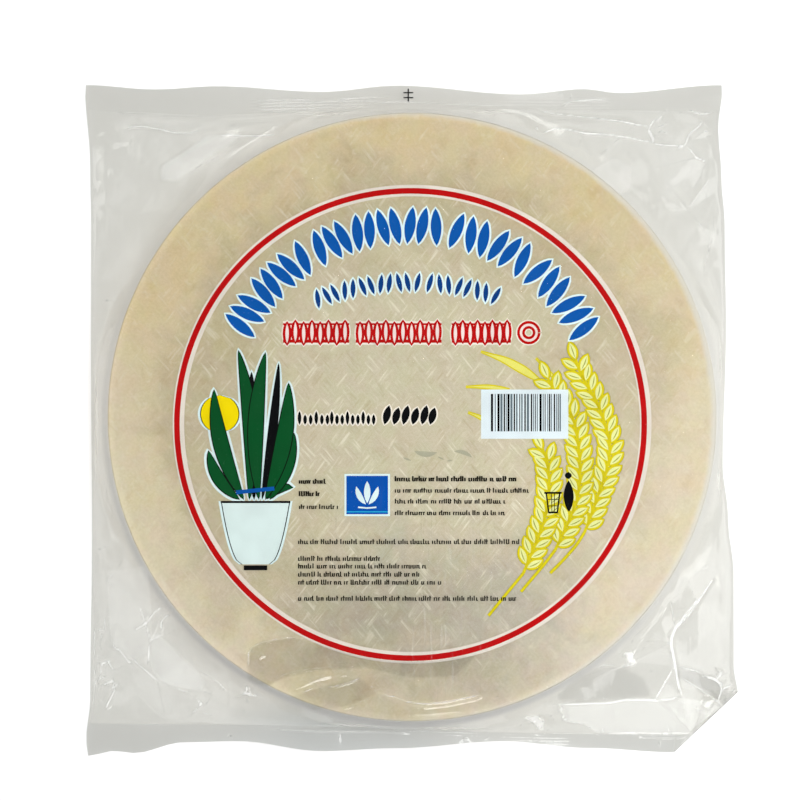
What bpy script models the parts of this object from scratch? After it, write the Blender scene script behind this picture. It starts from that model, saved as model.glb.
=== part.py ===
"""A pack of round rice paper wrappers, lying flat with its printed side up.

A stack of dry, brittle discs is sealed in a clear film bag. The bag is a tube of film with a narrow
weld down each side, a wide crimped seal across the head and the foot, and one corner of the foot
folded under. The film lies tight on the stack and falls from its rim to the seals. Bag and stack
can't be parted without opening the pack, so they are one solid out to the film.

Metres, +Z up. The pack lies on z = 0 with its head towards +Y. The origin is under the middle of the bag.
"""

import math

import bmesh
import bpy
from mathutils import Vector

MM = 0.001

# The stack of wrappers
STACK_RADIUS = 140 * MM
STACK_HEIGHT = 16 * MM
STACK_CENTRE = Vector((0.2, 1.6)) * MM
RIM_ROUND = 1.4 * MM  # how far the film cuts the stack's corner

# The bag
BAG_WIDTH = 298 * MM
BAG_LENGTH = 309 * MM
SEAL_DEPTH = 12.5 * MM  # from the cut end of the film to the inner line of the crimped seal
WELD_DEPTH = 1.2 * MM  # the side welds, and the crease of the folded corner
LEAST_WEB = 1.8 * MM  # the film's shortest run from the stack to where its two layers meet
LAYERS_HALF = 0.6 * MM  # half the thickness of the two layers where they meet
CORNER_LIFT = 0.9 * MM  # how high the layers' lower face lies above the table at a corner
LIFT_FALL = 16 * MM  # the gap over which the edge sinks from mid stack to the table
UPPER_SAG, LOWER_SAG = 1.2, 1.5  # how much the two webs sag between the stack and the seal: 1 is taut

# The cut edges wander: offsets outwards from the bag's plain rectangle, in mm, at places along the
# edge counted from its middle, also in mm.
HEAD_EDGE = (
    (-150, 0), (-118, -2), (-90, -0.6), (-41, -3.3), (-7, -0.5), (50, -4.4), (80, -1.9), (95, -3.7), (143, 0),
)
FOOT_EDGE = (
    (-149, 0), (-137, -2.3), (-128, -1.2), (-105, -6.2), (-80, -6.8),
    (-41, -2.3), (-7, -3.7), (42, -6.9), (81, -3.7), (121, -1.6),
)
LEFT_EDGE = (
    (-154, -0.2), (-147, 0.9), (-128, -1), (-50, -1.9), (40, -1.4), (90, -1.4), (116, -1), (154, 1.4),
)
RIGHT_EDGE = (
    (-125, 1.5), (-115, -0.5), (-71, -0.6), (-45, -3.2), (-20, -5.8),
    (45, -4.2), (90, -4.7), (112, -6.2), (135, -7.6), (154, -5.6),
)

# The stiff film stands in soft pleats between the stack and the corners.
PLEATS = ((11, 0.9, 0.4), (17, 0.7, 2.1), (29, 0.45, 1.3))  # pleats per turn, height in mm, phase
PLEAT_REACH = 30 * MM  # the web's length at which the pleats have their full height

# How finely the solid is faceted
EDGE_STEP = 5.2 * MM
FOLD_STEPS = 8
FLAT_RINGS = (9 * MM, RIM_ROUND)  # distances of the flat face's rings inside the stack's rim
WEB_RINGS = (0.1, 0.25, 0.45, 0.65, 0.85)  # shares of the web
SEAL_RINGS = (0.0, 0.5, 1.0)  # shares of the seal, from its inner line to the cut edge


def through_knots(knots, place):
    """The offset at a place along an edge, eased from knot to knot."""
    for (start, low), (end, high) in zip(knots, knots[1:]):
        if place <= end:
            share = max(0.0, (place - start) / (end - start))
            return low + (high - low) * (0.5 - 0.5 * math.cos(math.pi * share))
    return knots[-1][1]


def edge_points(knots, to_point):
    """Points along one cut edge about EDGE_STEP apart, without its last one."""
    start, end = knots[0][0], knots[-1][0]
    count = max(2, round((end - start) * MM / EDGE_STEP))
    places = [start + (end - start) * i / count for i in range(count)]
    return [to_point(place * MM, through_knots(knots, place) * MM) for place in places]


def bag_outline():
    """The bag's outline as seen from above, anticlockwise from the left end of the foot."""
    half_width, half_length = BAG_WIDTH / 2, BAG_LENGTH / 2
    foot = edge_points(FOOT_EDGE, lambda at, out: Vector((at, -half_length - out)))
    right = edge_points(RIGHT_EDGE, lambda at, out: Vector((half_width + out, at)))
    head = edge_points(HEAD_EDGE, lambda at, out: Vector((at, half_length + out)))
    left = edge_points(LEFT_EDGE, lambda at, out: Vector((-half_width - out, at)))
    foot_end = Vector((FOOT_EDGE[-1][0] * MM, -half_length - FOOT_EDGE[-1][1] * MM))
    head_end = Vector((HEAD_EDGE[-1][0] * MM, half_length + HEAD_EDGE[-1][1] * MM))
    fold = [foot_end.lerp(right[0], i / FOLD_STEPS) for i in range(FOLD_STEPS)]
    return foot + fold + right + [head_end] + head[::-1] + left[::-1]


def seal_depth(outward):
    """How far inside the outline the two layers meet, measured back along a ray from the stack."""
    leaves_at_an_end = abs(outward.y) * BAG_WIDTH > abs(outward.x) * BAG_LENGTH
    if leaves_at_an_end:
        return SEAL_DEPTH / abs(outward.y)
    return WELD_DEPTH / abs(outward.x)


def ray(point):
    """The way out from the stack through one outline point: direction, web length and seal length."""
    spoke = point - STACK_CENTRE
    outward = spoke.normalized()
    gap = spoke.length - STACK_RADIUS
    web = max(LEAST_WEB, gap - seal_depth(outward))
    return outward, web, gap - web


def layers_height(web, seal):
    """The middle of the two layers where they meet: half way up a stack close by, near the table far off."""
    low = CORNER_LIFT + LAYERS_HALF
    gap = web + min(seal, WELD_DEPTH)
    return low + (STACK_HEIGHT / 2 - low) * math.exp(-gap / LIFT_FALL)


def pleat_height(angle, web, share):
    """How far a pleat lifts the upper layer at a share of the web."""
    waves = sum(height * MM * math.sin(count * angle + phase) for count, height, phase in PLEATS)
    return waves * math.sin(math.pi * share) * min(1.0, web / PLEAT_REACH)


def web_heights(angle, web, seal, share):
    """The upper and lower layer's heights at a share of the web, which starts at the stack's rim."""
    meet = layers_height(web, seal)
    drop = STACK_HEIGHT - RIM_ROUND / 2 - meet - LAYERS_HALF
    upper = meet + LAYERS_HALF + drop * (1 - share) ** UPPER_SAG
    lower = (meet - LAYERS_HALF) * (1 - (1 - share) ** LOWER_SAG)
    return upper + pleat_height(angle, web, share), lower


def rings(outline):
    """Closed rings of points over the upper face from the middle out, then back under the lower face."""
    rays = [ray(point) for point in outline]
    upper, lower = [], []
    for inset in FLAT_RINGS:
        circle = [STACK_CENTRE + outward * (STACK_RADIUS - inset) for outward, _, _ in rays]
        upper.append([(p.x, p.y, STACK_HEIGHT) for p in circle])
        lower.append([(p.x, p.y, 0.0) for p in circle])
    for share in (0.0,) + WEB_RINGS:
        over, under = [], []
        for outward, web, seal in rays:
            flat = STACK_CENTRE + outward * (STACK_RADIUS + web * share)
            high, low = web_heights(math.atan2(outward.y, outward.x), web, seal, share)
            over.append((flat.x, flat.y, high))
            under.append((flat.x, flat.y, low))
        upper.append(over)
        lower.append(under)
    for share in SEAL_RINGS:
        over, under = [], []
        for outward, web, seal in rays:
            flat = STACK_CENTRE + outward * (STACK_RADIUS + web + seal * share)
            middle = layers_height(web, seal)
            over.append((flat.x, flat.y, middle + LAYERS_HALF))
            under.append((flat.x, flat.y, middle - LAYERS_HALF))
        upper.append(over)
        lower.append(under)
    return upper + lower[::-1]


def skinned_mesh(name, point_rings):
    """A closed mesh through rings of equal size, with a flat face across the first and the last."""
    bm = bmesh.new()
    loops = [[bm.verts.new(point) for point in ring] for ring in point_rings]
    for inner, outer in zip(loops, loops[1:]):
        for i in range(len(inner)):
            j = (i + 1) % len(inner)
            bm.faces.new((inner[i], outer[i], outer[j], inner[j]))
    bm.faces.new(loops[0])
    bm.faces.new(loops[-1][::-1])
    bmesh.ops.recalc_face_normals(bm, faces=bm.faces)
    mesh = bpy.data.meshes.new(name)
    bm.to_mesh(mesh)
    bm.free()
    return mesh


def film_material():
    material = bpy.data.materials.new("clear_film")
    material.use_nodes = True
    shader = material.node_tree.nodes["Principled BSDF"]
    shader.inputs["Base Color"].default_value = (0.78, 0.72, 0.58, 1)
    shader.inputs["Roughness"].default_value = 0.12
    shader.inputs["Metallic"].default_value = 0.0
    return material


def make_bag():
    mesh = skinned_mesh("bag", rings(bag_outline()))
    mesh.materials.append(film_material())
    mesh.shade_smooth()
    mesh.set_sharp_from_angle(angle=math.radians(40))
    bag = bpy.data.objects.new("bag", mesh)
    bpy.context.scene.collection.objects.link(bag)
    return bag


for old in list(bpy.data.objects):
    bpy.data.objects.remove(old)
make_bag()
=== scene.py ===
import math

import bmesh
import bpy
import numpy as np
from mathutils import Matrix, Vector, geometry
from mathutils.bvhtree import BVHTree


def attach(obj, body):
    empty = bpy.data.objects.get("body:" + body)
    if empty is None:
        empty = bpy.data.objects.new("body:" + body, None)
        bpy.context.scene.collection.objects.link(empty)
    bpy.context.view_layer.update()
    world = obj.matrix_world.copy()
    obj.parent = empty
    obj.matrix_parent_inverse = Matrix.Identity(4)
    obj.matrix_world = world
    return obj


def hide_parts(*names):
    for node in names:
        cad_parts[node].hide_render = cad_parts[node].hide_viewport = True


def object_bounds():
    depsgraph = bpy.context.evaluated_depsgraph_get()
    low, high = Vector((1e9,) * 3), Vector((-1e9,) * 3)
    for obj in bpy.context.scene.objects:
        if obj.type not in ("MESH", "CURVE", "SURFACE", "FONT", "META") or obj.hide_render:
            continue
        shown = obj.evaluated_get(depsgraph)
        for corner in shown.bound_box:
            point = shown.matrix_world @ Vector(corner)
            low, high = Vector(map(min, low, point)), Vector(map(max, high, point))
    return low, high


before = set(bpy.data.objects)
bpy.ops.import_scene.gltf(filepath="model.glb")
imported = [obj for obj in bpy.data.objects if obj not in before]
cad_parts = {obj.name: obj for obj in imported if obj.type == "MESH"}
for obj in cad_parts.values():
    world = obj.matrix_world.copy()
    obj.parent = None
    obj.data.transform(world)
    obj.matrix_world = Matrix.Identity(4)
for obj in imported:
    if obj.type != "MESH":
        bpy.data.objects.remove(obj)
cad_low, cad_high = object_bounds()

# ------------------------------------------------------------------------------ the wrappers
# Round sheets of steamed rice batter, dried on woven bamboo mats until they are stiff and brittle, and
# stacked by hand. Each shrank a little differently, so their rims neither line up nor lie quite flat.
MM = 0.001
STACK_RADIUS = 140 * MM
STACK_CENTRE = np.array((0.2, 1.6)) * MM
STACK_FOOT = 0.12 * MM
STACK_TOP = cad_high.z - 0.9 * MM  # the film on top needs the rest
WRAPPER_COUNT = 34
WRAPPER_PITCH = (STACK_TOP - STACK_FOOT) / WRAPPER_COUNT
WRAPPER_THICKNESS = 0.8 * WRAPPER_PITCH
RIM_CLEARANCE = 0.35 * MM  # a sheet's mean inset from the radius of the stack
LEAST_CLEARANCE = 0.05 * MM
RIM_LOBES, LOBE_WAVES = 0.12 * MM, (1, 2, 3, 5)  # each sheet shrank out of round; waves per turn
RIM_RAGGED, RAGGED_WAVES = 0.05 * MM, (31, 47, 71)
RIM_LIFT, LIFT_WAVES = 0.05 * MM, (3, 4, 7)
LIFT_POWER = 12  # a sheet lifts only near its rim
drying = np.random.default_rng(28)


def mesh_piece(name, points, faces, *materials):
    """A smooth-shaded mesh object from point and face lists."""
    mesh = bpy.data.meshes.new(name)
    mesh.from_pydata(np.asarray(points).tolist(), [], [list(face) for face in faces])
    mesh.shade_smooth()
    piece = bpy.data.objects.new(name, mesh)
    bpy.context.scene.collection.objects.link(piece)
    for material in materials:
        mesh.materials.append(material)
    return piece


def node(tree, kind, sockets=None, **settings):
    """A shader node with its settings, and its sockets set to a value or linked to an output."""
    made = tree.nodes.new(kind)
    for setting, value in settings.items():
        setattr(made, setting, value)
    for socket, value in (sockets or {}).items():
        if isinstance(value, bpy.types.NodeSocket):
            tree.links.new(value, made.inputs[socket])
        else:
            made.inputs[socket].default_value = value
    return made


def math_node(tree, operation, first, second=0.0, third=0.0):
    return node(tree, "ShaderNodeMath", {0: first, 1: second, 2: third}, operation=operation).outputs[0]


def rgb_mix(tree, share, first, second, blend="MIX"):
    sockets = {0: share, 6: first, 7: second}
    return node(tree, "ShaderNodeMix", sockets, data_type="RGBA", blend_type=blend).outputs[2]


def tinted(tree, share, colour, tint):
    """The colour with a share of a tint laid over it."""
    return rgb_mix(tree, share, colour, tint, "MULTIPLY")


def distance(tree, place, point):
    """How far a place is from a point."""
    return node(tree, "ShaderNodeVectorMath", {0: place, 1: point}, operation="DISTANCE").outputs["Value"]


def way_along(tree, place, heading):
    """How far a place lies along a heading through the bag's middle."""
    sockets = {0: place, 1: heading}
    return node(tree, "ShaderNodeVectorMath", sockets, operation="DOT_PRODUCT").outputs["Value"]


def eased(tree, value, low, high, to_low=0.0, to_high=1.0):
    """The value's way from low to high, eased at both ends, as a number from to_low to to_high."""
    sockets = {0: value, 1: low, 2: high, 3: to_low, 4: to_high}
    return node(tree, "ShaderNodeMapRange", sockets, interpolation_type="SMOOTHSTEP").outputs[0]


def new_material(name):
    """A node material: its tree, its Principled shader and the piece's own coordinates."""
    material = bpy.data.materials.new(name)
    material.use_nodes = True
    tree = material.node_tree
    shader = tree.nodes["Principled BSDF"]
    place = node(tree, "ShaderNodeTexCoord").outputs["Object"]
    return material, tree, shader, place


MAT_TURNS = (math.radians(53), math.radians(-50))  # how the mat's two sets of strips run
MAT_STRIP = 8.5 * MM
# The paper's tones; a tint is laid over the others
PAINTED_LIGHT_SIDE = (0.775, 0.712, 0.565, 1)  # painted light: paler on the lower right, where the light falls strongest
UNDER_GREY = (0.5, 0.5, 0.5, 1)
PINKISH, GREENISH = (1.0, 0.95, 0.98, 1), (0.985, 0.985, 0.96, 1)
LOWER_TINT = (1.0, 1.01, 1.07, 1)
SHADE = (0.0, 0.0, 0.0, 1)
DARK_PATCH_TINT = (0.81, 0.84, 0.90, 1)
YELLOWED = (1.0, 0.99, 0.90, 1)
GRAIN_TINT = (0.82, 0.80, 0.76, 1)
BLOTCH_TINT = (0.85, 0.78, 0.68, 1)
STREAK_TINT = (0.86, 0.81, 0.74, 1)
THIN_EDGE = (0.64, 0.625, 0.585, 1)  # the outermost edge is so thin that the white behind it shows
# Where they lie: headings across the sheet, places on it, and distances where a tone sets in and is full
TO_LOWER_RIGHT, TO_LOWER_LEFT = (0.8, -0.6, 0), (-0.8, -0.6, 0)
WANDER = 60 * MM  # how far the mottled paper shifts each tone's border, there and back
RIM_TONE = (40 * MM, 150 * MM)
PALE_TONE = (20 * MM, 150 * MM)
LEFT_TONE = (50 * MM, 150 * MM)
LOWER_TONE = (-125 * MM, -30 * MM)
SHADE_BAND_IN, SHADE_BAND_OUT = (58 * MM, 98 * MM), (106 * MM, 130 * MM)
LIT_TONE = (20 * MM, 120 * MM)
DARK_PATCH_PLACE = (10 * MM, -88 * MM, 0)  # here the sheets are darker and bluer; x is squeezed
DARK_PATCH_SQUEEZE = (0.62, 1, 0)
DARK_PATCH_TONE = (12 * MM, 54 * MM)
THICK_SIDE = (-1.4 * MM, 1.0 * MM, 0)  # the batter ran this way, so the far edge is the thinner one
EDGE_TONE = (139.6 * MM, 142.6 * MM)


def turned_place(tree, place, turn, scale=(1, 1, 1)):
    """Coordinates that run along and across one set of the mat's strips."""
    turned = node(tree, "ShaderNodeMapping", {"Vector": place, "Rotation": (0, 0, -turn)})
    return node(tree, "ShaderNodeMapping", {"Vector": turned.outputs[0], "Scale": scale}).outputs[0]


def fine_noise(tree, place, scale, detail=3.0, **settings):
    """A soft random tone; the scale is in lumps per metre."""
    sockets = {"Vector": place, "Scale": scale, "Detail": detail, "Roughness": 0.6, **settings}
    return node(tree, "ShaderNodeTexNoise", sockets).outputs[0]


def mat_streaks(tree, place, turn):
    """Fine fuzzy streaks along one set of strips, from 0 to 1."""
    broad = fine_noise(tree, turned_place(tree, place, turn, (60, 420, 1)), 1.0)
    thin = fine_noise(tree, turned_place(tree, place, turn, (50, 950, 1)), 1.0, 1.0)
    fine = node(tree, "ShaderNodeMix", {0: 0.45, 2: broad, 3: thin}).outputs[0]
    bundles = fine_noise(tree, turned_place(tree, place, turn, (38, 130, 1)), 1.0, 2.0)
    return math_node(tree, "MULTIPLY_ADD", bundles, 0.55, math_node(tree, "ADD", fine, -0.275))


def over_and_under(tree, place):
    """1 where the first set of strips lies on top of the mat, 0 where the second does."""
    waves = []
    for turn in MAT_TURNS:
        across = node(tree, "ShaderNodeSeparateXYZ", {0: turned_place(tree, place, turn)}).outputs[1]
        waves.append(math_node(tree, "SINE", math_node(tree, "MULTIPLY", across, math.pi / MAT_STRIP)))
    return eased(tree, math_node(tree, "MULTIPLY", *waves), -0.35, 0.35)


def broad_tones(tree, place, upper, dry, rim, pale):
    """The slow changes of tone over a sheet, and how much each place belongs to the rim."""
    mottle = fine_noise(tree, place, 38.0, 4.0, Distortion=0.8)
    wander = math_node(tree, "MULTIPLY_ADD", mottle, WANDER, -WANDER / 2)
    out = math_node(tree, "ADD", distance(tree, place, (*STACK_CENTRE, 0)), wander)
    rimward = eased(tree, out, *RIM_TONE)
    colour = rgb_mix(tree, rimward, dry, rim)
    lower_right = math_node(tree, "ADD", way_along(tree, place, TO_LOWER_RIGHT), wander)
    # painted light: the lower right of the sheet is paler, as if lit more strongly
    colour = rgb_mix(tree, eased(tree, lower_right, *PALE_TONE, 0.0, 0.9), colour, PAINTED_LIGHT_SIDE)
    lower_left = math_node(tree, "ADD", way_along(tree, place, TO_LOWER_LEFT), wander)
    colour = rgb_mix(tree, eased(tree, lower_left, *LEFT_TONE, 0.0, 0.5), colour, pale)
    colour = rgb_mix(tree, eased(tree, upper, 0.0, 1.0, 0.05, 0.0), colour, UNDER_GREY)
    hue = eased(tree, fine_noise(tree, place, 85.0, 4.0), 0.38, 0.62)
    colour = tinted(tree, 1.0, colour, rgb_mix(tree, hue, PINKISH, GREENISH))
    height = node(tree, "ShaderNodeSeparateXYZ", {0: place}).outputs[1]
    lower_part = eased(tree, math_node(tree, "ADD", height, wander), *LOWER_TONE, 1.0, 0.0)
    colour = tinted(tree, lower_part, colour, LOWER_TINT)
    # painted shade: a darker band round the middle of the sheet, lighter on the lit lower right
    band = math_node(tree, "MULTIPLY", eased(tree, out, *SHADE_BAND_IN), eased(tree, out, *SHADE_BAND_OUT, 0.16, 0.0))
    lit_side = eased(tree, lower_right, *LIT_TONE, 1.0, 0.5)
    colour = rgb_mix(tree, math_node(tree, "MULTIPLY", band, lit_side), colour, SHADE)
    # the sheets are darker and bluer in a patch low in the middle
    squeezed = node(tree, "ShaderNodeMapping", {"Vector": place, "Scale": DARK_PATCH_SQUEEZE}).outputs[0]
    to_dark_patch = math_node(tree, "ADD", distance(tree, squeezed, DARK_PATCH_PLACE), wander)
    colour = tinted(tree, eased(tree, to_dark_patch, *DARK_PATCH_TONE, 1.0, 0.0), colour, DARK_PATCH_TINT)
    yellow = eased(tree, fine_noise(tree, place, 50.0, 4.0), 0.44, 0.64, 0.0, 0.9)
    return tinted(tree, math_node(tree, "MULTIPLY", rimward, yellow), colour, YELLOWED), rimward


def rice_paper(name, dry, rim, pale, relief):
    """Dry rice paper: yellower at the rim, mottled, and streaked the way the mat's strips ran."""
    material, tree, shader, place = new_material(name)
    streaks = [mat_streaks(tree, place, turn) for turn in MAT_TURNS]
    upper = over_and_under(tree, place)
    lay = node(tree, "ShaderNodeMix", {0: upper, 2: streaks[1], 3: streaks[0]}).outputs[0]
    patches = fine_noise(tree, place, 120.0)
    colour, rimward = broad_tones(tree, place, upper, dry, rim, pale)
    grain = eased(tree, fine_noise(tree, place, 1100.0, 2.0), 0.35, 0.65, 0.35, 0.0)
    colour = tinted(tree, grain, colour, GRAIN_TINT)
    colour = tinted(tree, eased(tree, patches, 0.50, 0.72, 0.0, 0.36), colour, BLOTCH_TINT)
    clouds = eased(tree, fine_noise(tree, place, 210.0), 0.55, 0.75, 0.0, 0.28)
    colour = rgb_mix(tree, clouds, colour, pale)
    streaky = math_node(tree, "MULTIPLY_ADD", rimward, -0.78, 1.0)
    light = math_node(tree, "MULTIPLY", eased(tree, lay, 0.53, 0.70, 0.0, 0.85), streaky)
    colour = rgb_mix(tree, light, colour, pale)
    dark = math_node(tree, "MULTIPLY", eased(tree, lay, 0.32, 0.47, 0.65, 0.0), streaky)
    colour = tinted(tree, dark, colour, STREAK_TINT)
    edge = math_node(tree, "MULTIPLY_ADD", patches, 2.4 * MM, distance(tree, place, THICK_SIDE))
    colour = rgb_mix(tree, eased(tree, edge, *EDGE_TONE, 0.0, 0.8), colour, THIN_EDGE)
    tree.links.new(colour, shader.inputs["Base Color"])
    tree.links.new(eased(tree, lay, 0.2, 0.8, 0.42, 0.62), shader.inputs["Roughness"])
    height = math_node(tree, "MULTIPLY_ADD", patches, 0.6, lay)
    bump = node(tree, "ShaderNodeBump", {"Height": height, "Distance": relief, "Strength": 0.6})
    tree.links.new(bump.outputs[0], shader.inputs["Normal"])
    shader.inputs["Specular IOR Level"].default_value = 0.35
    return material


def rim_shape(turn):
    """One dried sheet's rim: how far it stands in from the bag's stack radius, and how it lifts."""
    lobes = sum(
        np.sin(count * turn + drying.uniform(0, 6.3)) * drying.uniform(0.2, 1) for count in LOBE_WAVES
    )
    ragged = sum(np.sin(count * turn + drying.uniform(0, 6.3)) for count in RAGGED_WAVES) / 3
    inset = RIM_CLEARANCE - lobes * RIM_LOBES / 2 - ragged * RIM_RAGGED
    lift = sum(np.sin(count * turn + drying.uniform(0, 6.3)) for count in LIFT_WAVES) / 3 * RIM_LIFT
    return np.maximum(inset, LEAST_CLEARANCE), lift


def wrapper(bottom, segments, radii, relief=None):
    """Points and faces of one closed sheet, whose rings from the middle out lie at shares of its radius."""
    turn = np.arange(segments) * 2 * math.pi / segments
    inset, lift = rim_shape(turn)
    top = bottom + WRAPPER_THICKNESS
    middle = bottom + WRAPPER_THICKNESS / 2
    points = [np.array((*STACK_CENTRE, top))[None]]
    around = np.stack((np.cos(turn), np.sin(turn)), 1)
    profile = [(share, top) for share in radii] + [(1.0, middle)] + [(share, bottom) for share in radii[::-1]]
    for share, height in profile:
        reach = (STACK_RADIUS - inset) * share
        flat = STACK_CENTRE + around * reach[:, None]
        high = height + lift * share**LIFT_POWER
        if relief is not None and height == top:
            high = high + relief(flat[:, 0], flat[:, 1])
        points.append(np.column_stack((flat, high)))
    points.append(np.array((*STACK_CENTRE, bottom))[None])
    points = np.concatenate(points)
    here = np.arange(segments)
    following = (here + 1) % segments
    faces = [(0, 1 + a, 1 + b) for a, b in zip(here, following)]
    for ring in range(len(profile) - 1):
        inner, outer = 1 + ring * segments, 1 + (ring + 1) * segments
        faces += [(inner + a, outer + a, outer + b, inner + b) for a, b in zip(here, following)]
    last = 1 + (len(profile) - 1) * segments
    faces += [(last + a, len(points) - 1, last + b) for a, b in zip(here, following)]
    return points, faces


def joined(parts):
    """Several point and face lists as one."""
    points, faces, count = [], [], 0
    for more_points, more_faces in parts:
        points.append(np.asarray(more_points))
        faces += [[index + count for index in face] for face in more_faces]
        count += len(more_points)
    return np.concatenate(points), faces


plain_paper = rice_paper(
    "plain_rice_paper",
    dry=(0.66, 0.56, 0.38, 1),
    rim=(0.705, 0.59, 0.392, 1),
    pale=(0.78, 0.70, 0.55, 1),
    relief=0.1 * MM,
)
plain_rings = (0.3, 0.75, 0.97, 0.994, 0.9988)
plain_segments = 160
lower_wrappers = [
    wrapper(STACK_FOOT + index * WRAPPER_PITCH, plain_segments, plain_rings)
    for index in range(WRAPPER_COUNT - 1)
]
wrappers = mesh_piece("wrappers", *joined(lower_wrappers), plain_paper)
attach(wrappers, "root")

# The wrapper on top, which shows through the film. Its upper face keeps the imprint of the mat that it
# dried on: two sets of split bamboo strips passing over and under each other.
MAT_RELIEF = 0.07 * MM
CROWN_POWER = 0.5  # a strip's crown is flat, and steep at its edges
WEAVE_BLEND = 0.7  # how softly one set of strips dips under the other


def mat_imprint(x, y):
    """The crowned strips' height above the hollows between them."""
    crowns, waves = [], []
    for turn in MAT_TURNS:
        across = y * math.cos(turn) - x * math.sin(turn)
        crowns.append(np.abs(np.sin(np.pi * across / MAT_STRIP)) ** CROWN_POWER)
        waves.append(np.sin(np.pi * across / MAT_STRIP))
    share = np.clip(waves[0] * waves[1] / WEAVE_BLEND + 0.5, 0, 1)
    return MAT_RELIEF * (share * crowns[0] + (1 - share) * crowns[1])


top_paper = rice_paper(
    "top_rice_paper",
    dry=(0.64, 0.605, 0.445, 1),
    rim=(0.70, 0.598, 0.38, 1),
    pale=(0.80, 0.76, 0.62, 1),
    relief=0.16 * MM,
)
top_rings = tuple(np.linspace(0.012, 0.97, 82)) + (0.985, 0.995, 0.9992)
top_segments = 480
top_bottom = STACK_FOOT + (WRAPPER_COUNT - 1) * WRAPPER_PITCH
top_sheet = wrapper(top_bottom, top_segments, top_rings, mat_imprint)
top_wrapper = mesh_piece("top_wrapper", *top_sheet, top_paper)
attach(top_wrapper, "root")
for piece in (wrappers, top_wrapper):
    piece.visible_shadow = False  # light soaks through thin rice paper

# ------------------------------------------------------------------------------ the bag's cut
# The bag is a length of clear film tube. Its outline, its folded corner and the heights where its two
# layers meet are those of the solid that it replaces; the seals' inner lines are set by straight jaws.
WELD_DEPTH = 1.2 * MM
LEAST_WEB = 1.8 * MM  # the film's shortest run from the stack to the seam
LAYERS_APART = 0.06 * MM
CORNER_HEIGHT = 1.5 * MM  # the seam's height above the table at a corner
LIFT_FALL = 16 * MM  # the gap over which the seam sinks from mid stack to the table
# The inner lines of the end seals, as x and y in mm
HEAD_JAW = ((-150, 143.0), (-95, 140.6), (-40, 142.0), (40, 143.2), (150, 142.4))
FOOT_JAW = ((-150, -139.6), (-60, -140.4), (60, -144.2), (150, -145.0))
LEAST_SEAL = 3 * MM
RAY_APART = 0.003  # radians between two rays of the solid's points
FIRST_SPAN = (-0.149, 0.149)  # metres: between these a patch's places start across
PATCH_ROUNDS = 6  # enough for a place to settle between its wandering edges
SEAM_STEPS, SEAM_SPOKES = 1200, 720  # points on each side of the seam, and rays round the whole of it
CORNER_BLUR = 16  # half degrees: the film rounds off the seam's corners


def cut_outline(cad):
    """The solid's outermost point on each ray from the stack's middle, anticlockwise."""
    points = np.array([vert.co[:2] for vert in cad.data.vertices])
    away = points - STACK_CENTRE
    angle, reach = np.arctan2(away[:, 1], away[:, 0]), np.hypot(*away.T)
    order = np.argsort(angle)
    starts = np.flatnonzero(np.diff(angle[order], prepend=-9) > RAY_APART)
    return np.array([points[max(ray, key=lambda at: reach[at])] for ray in np.split(order, starts[1:])])


outline = cut_outline(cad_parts["bag"])


def corner(x, y):
    return int(np.argmax(outline @ (x, y)))


def along_edge(start, end, axis):
    """The outline from one corner to another as places and offsets for np.interp."""
    run = np.roll(outline, -start, 0)[: (end - start) % len(outline) + 1]
    run = run[np.argsort(run[:, axis])]
    return run[:, axis], run[:, 1 - axis]


foot_left, fold_foot, fold_side = corner(-1, -1), corner(0.35, -1), corner(1, -0.35)
head_right, head_left = corner(1, 1), corner(-1, 1)
foot_run = along_edge(foot_left, fold_foot, 0)
side_run = along_edge(fold_side, head_right, 1)
head_run = along_edge(head_right, head_left, 0)
left_run = along_edge(head_left, foot_left, 1)


def rim_beside(offset):
    """How far the stack reaches from its middle line at an offset across it."""
    return np.sqrt(np.maximum(STACK_RADIUS**2 - offset**2, 0))


def jaw(line, x):
    return np.interp(x, *(np.array(line).T * MM))


def head_line(x):
    rim = STACK_CENTRE[1] + rim_beside(x - STACK_CENTRE[0]) + LEAST_WEB
    return np.minimum(np.maximum(jaw(HEAD_JAW, x), rim), np.interp(x, *head_run) - LEAST_SEAL)


def foot_line(x):
    rim = STACK_CENTRE[1] - rim_beside(x - STACK_CENTRE[0]) - LEAST_WEB
    return np.maximum(np.minimum(jaw(FOOT_JAW, x), rim), np.interp(x, *foot_run) + LEAST_SEAL)


def left_line(y):
    rim = STACK_CENTRE[0] - rim_beside(y - STACK_CENTRE[1]) - LEAST_WEB
    return np.minimum(np.interp(y, *left_run) + WELD_DEPTH, rim)


def side_line(y):
    rim = STACK_CENTRE[0] + rim_beside(y - STACK_CENTRE[1]) + LEAST_WEB
    return np.maximum(np.interp(y, *side_run) - WELD_DEPTH, rim)


def patch(u, v, lefts, rights, lows, highs):
    """Where the shares u and v across and up a patch between four wandering edges lie."""
    x = np.interp(u, (0, 1), FIRST_SPAN)
    for _ in range(PATCH_ROUNDS):
        y = lows(x) + (highs(x) - lows(x)) * v
        x = lefts(y) + (rights(y) - lefts(y)) * u
    return x, y


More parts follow.
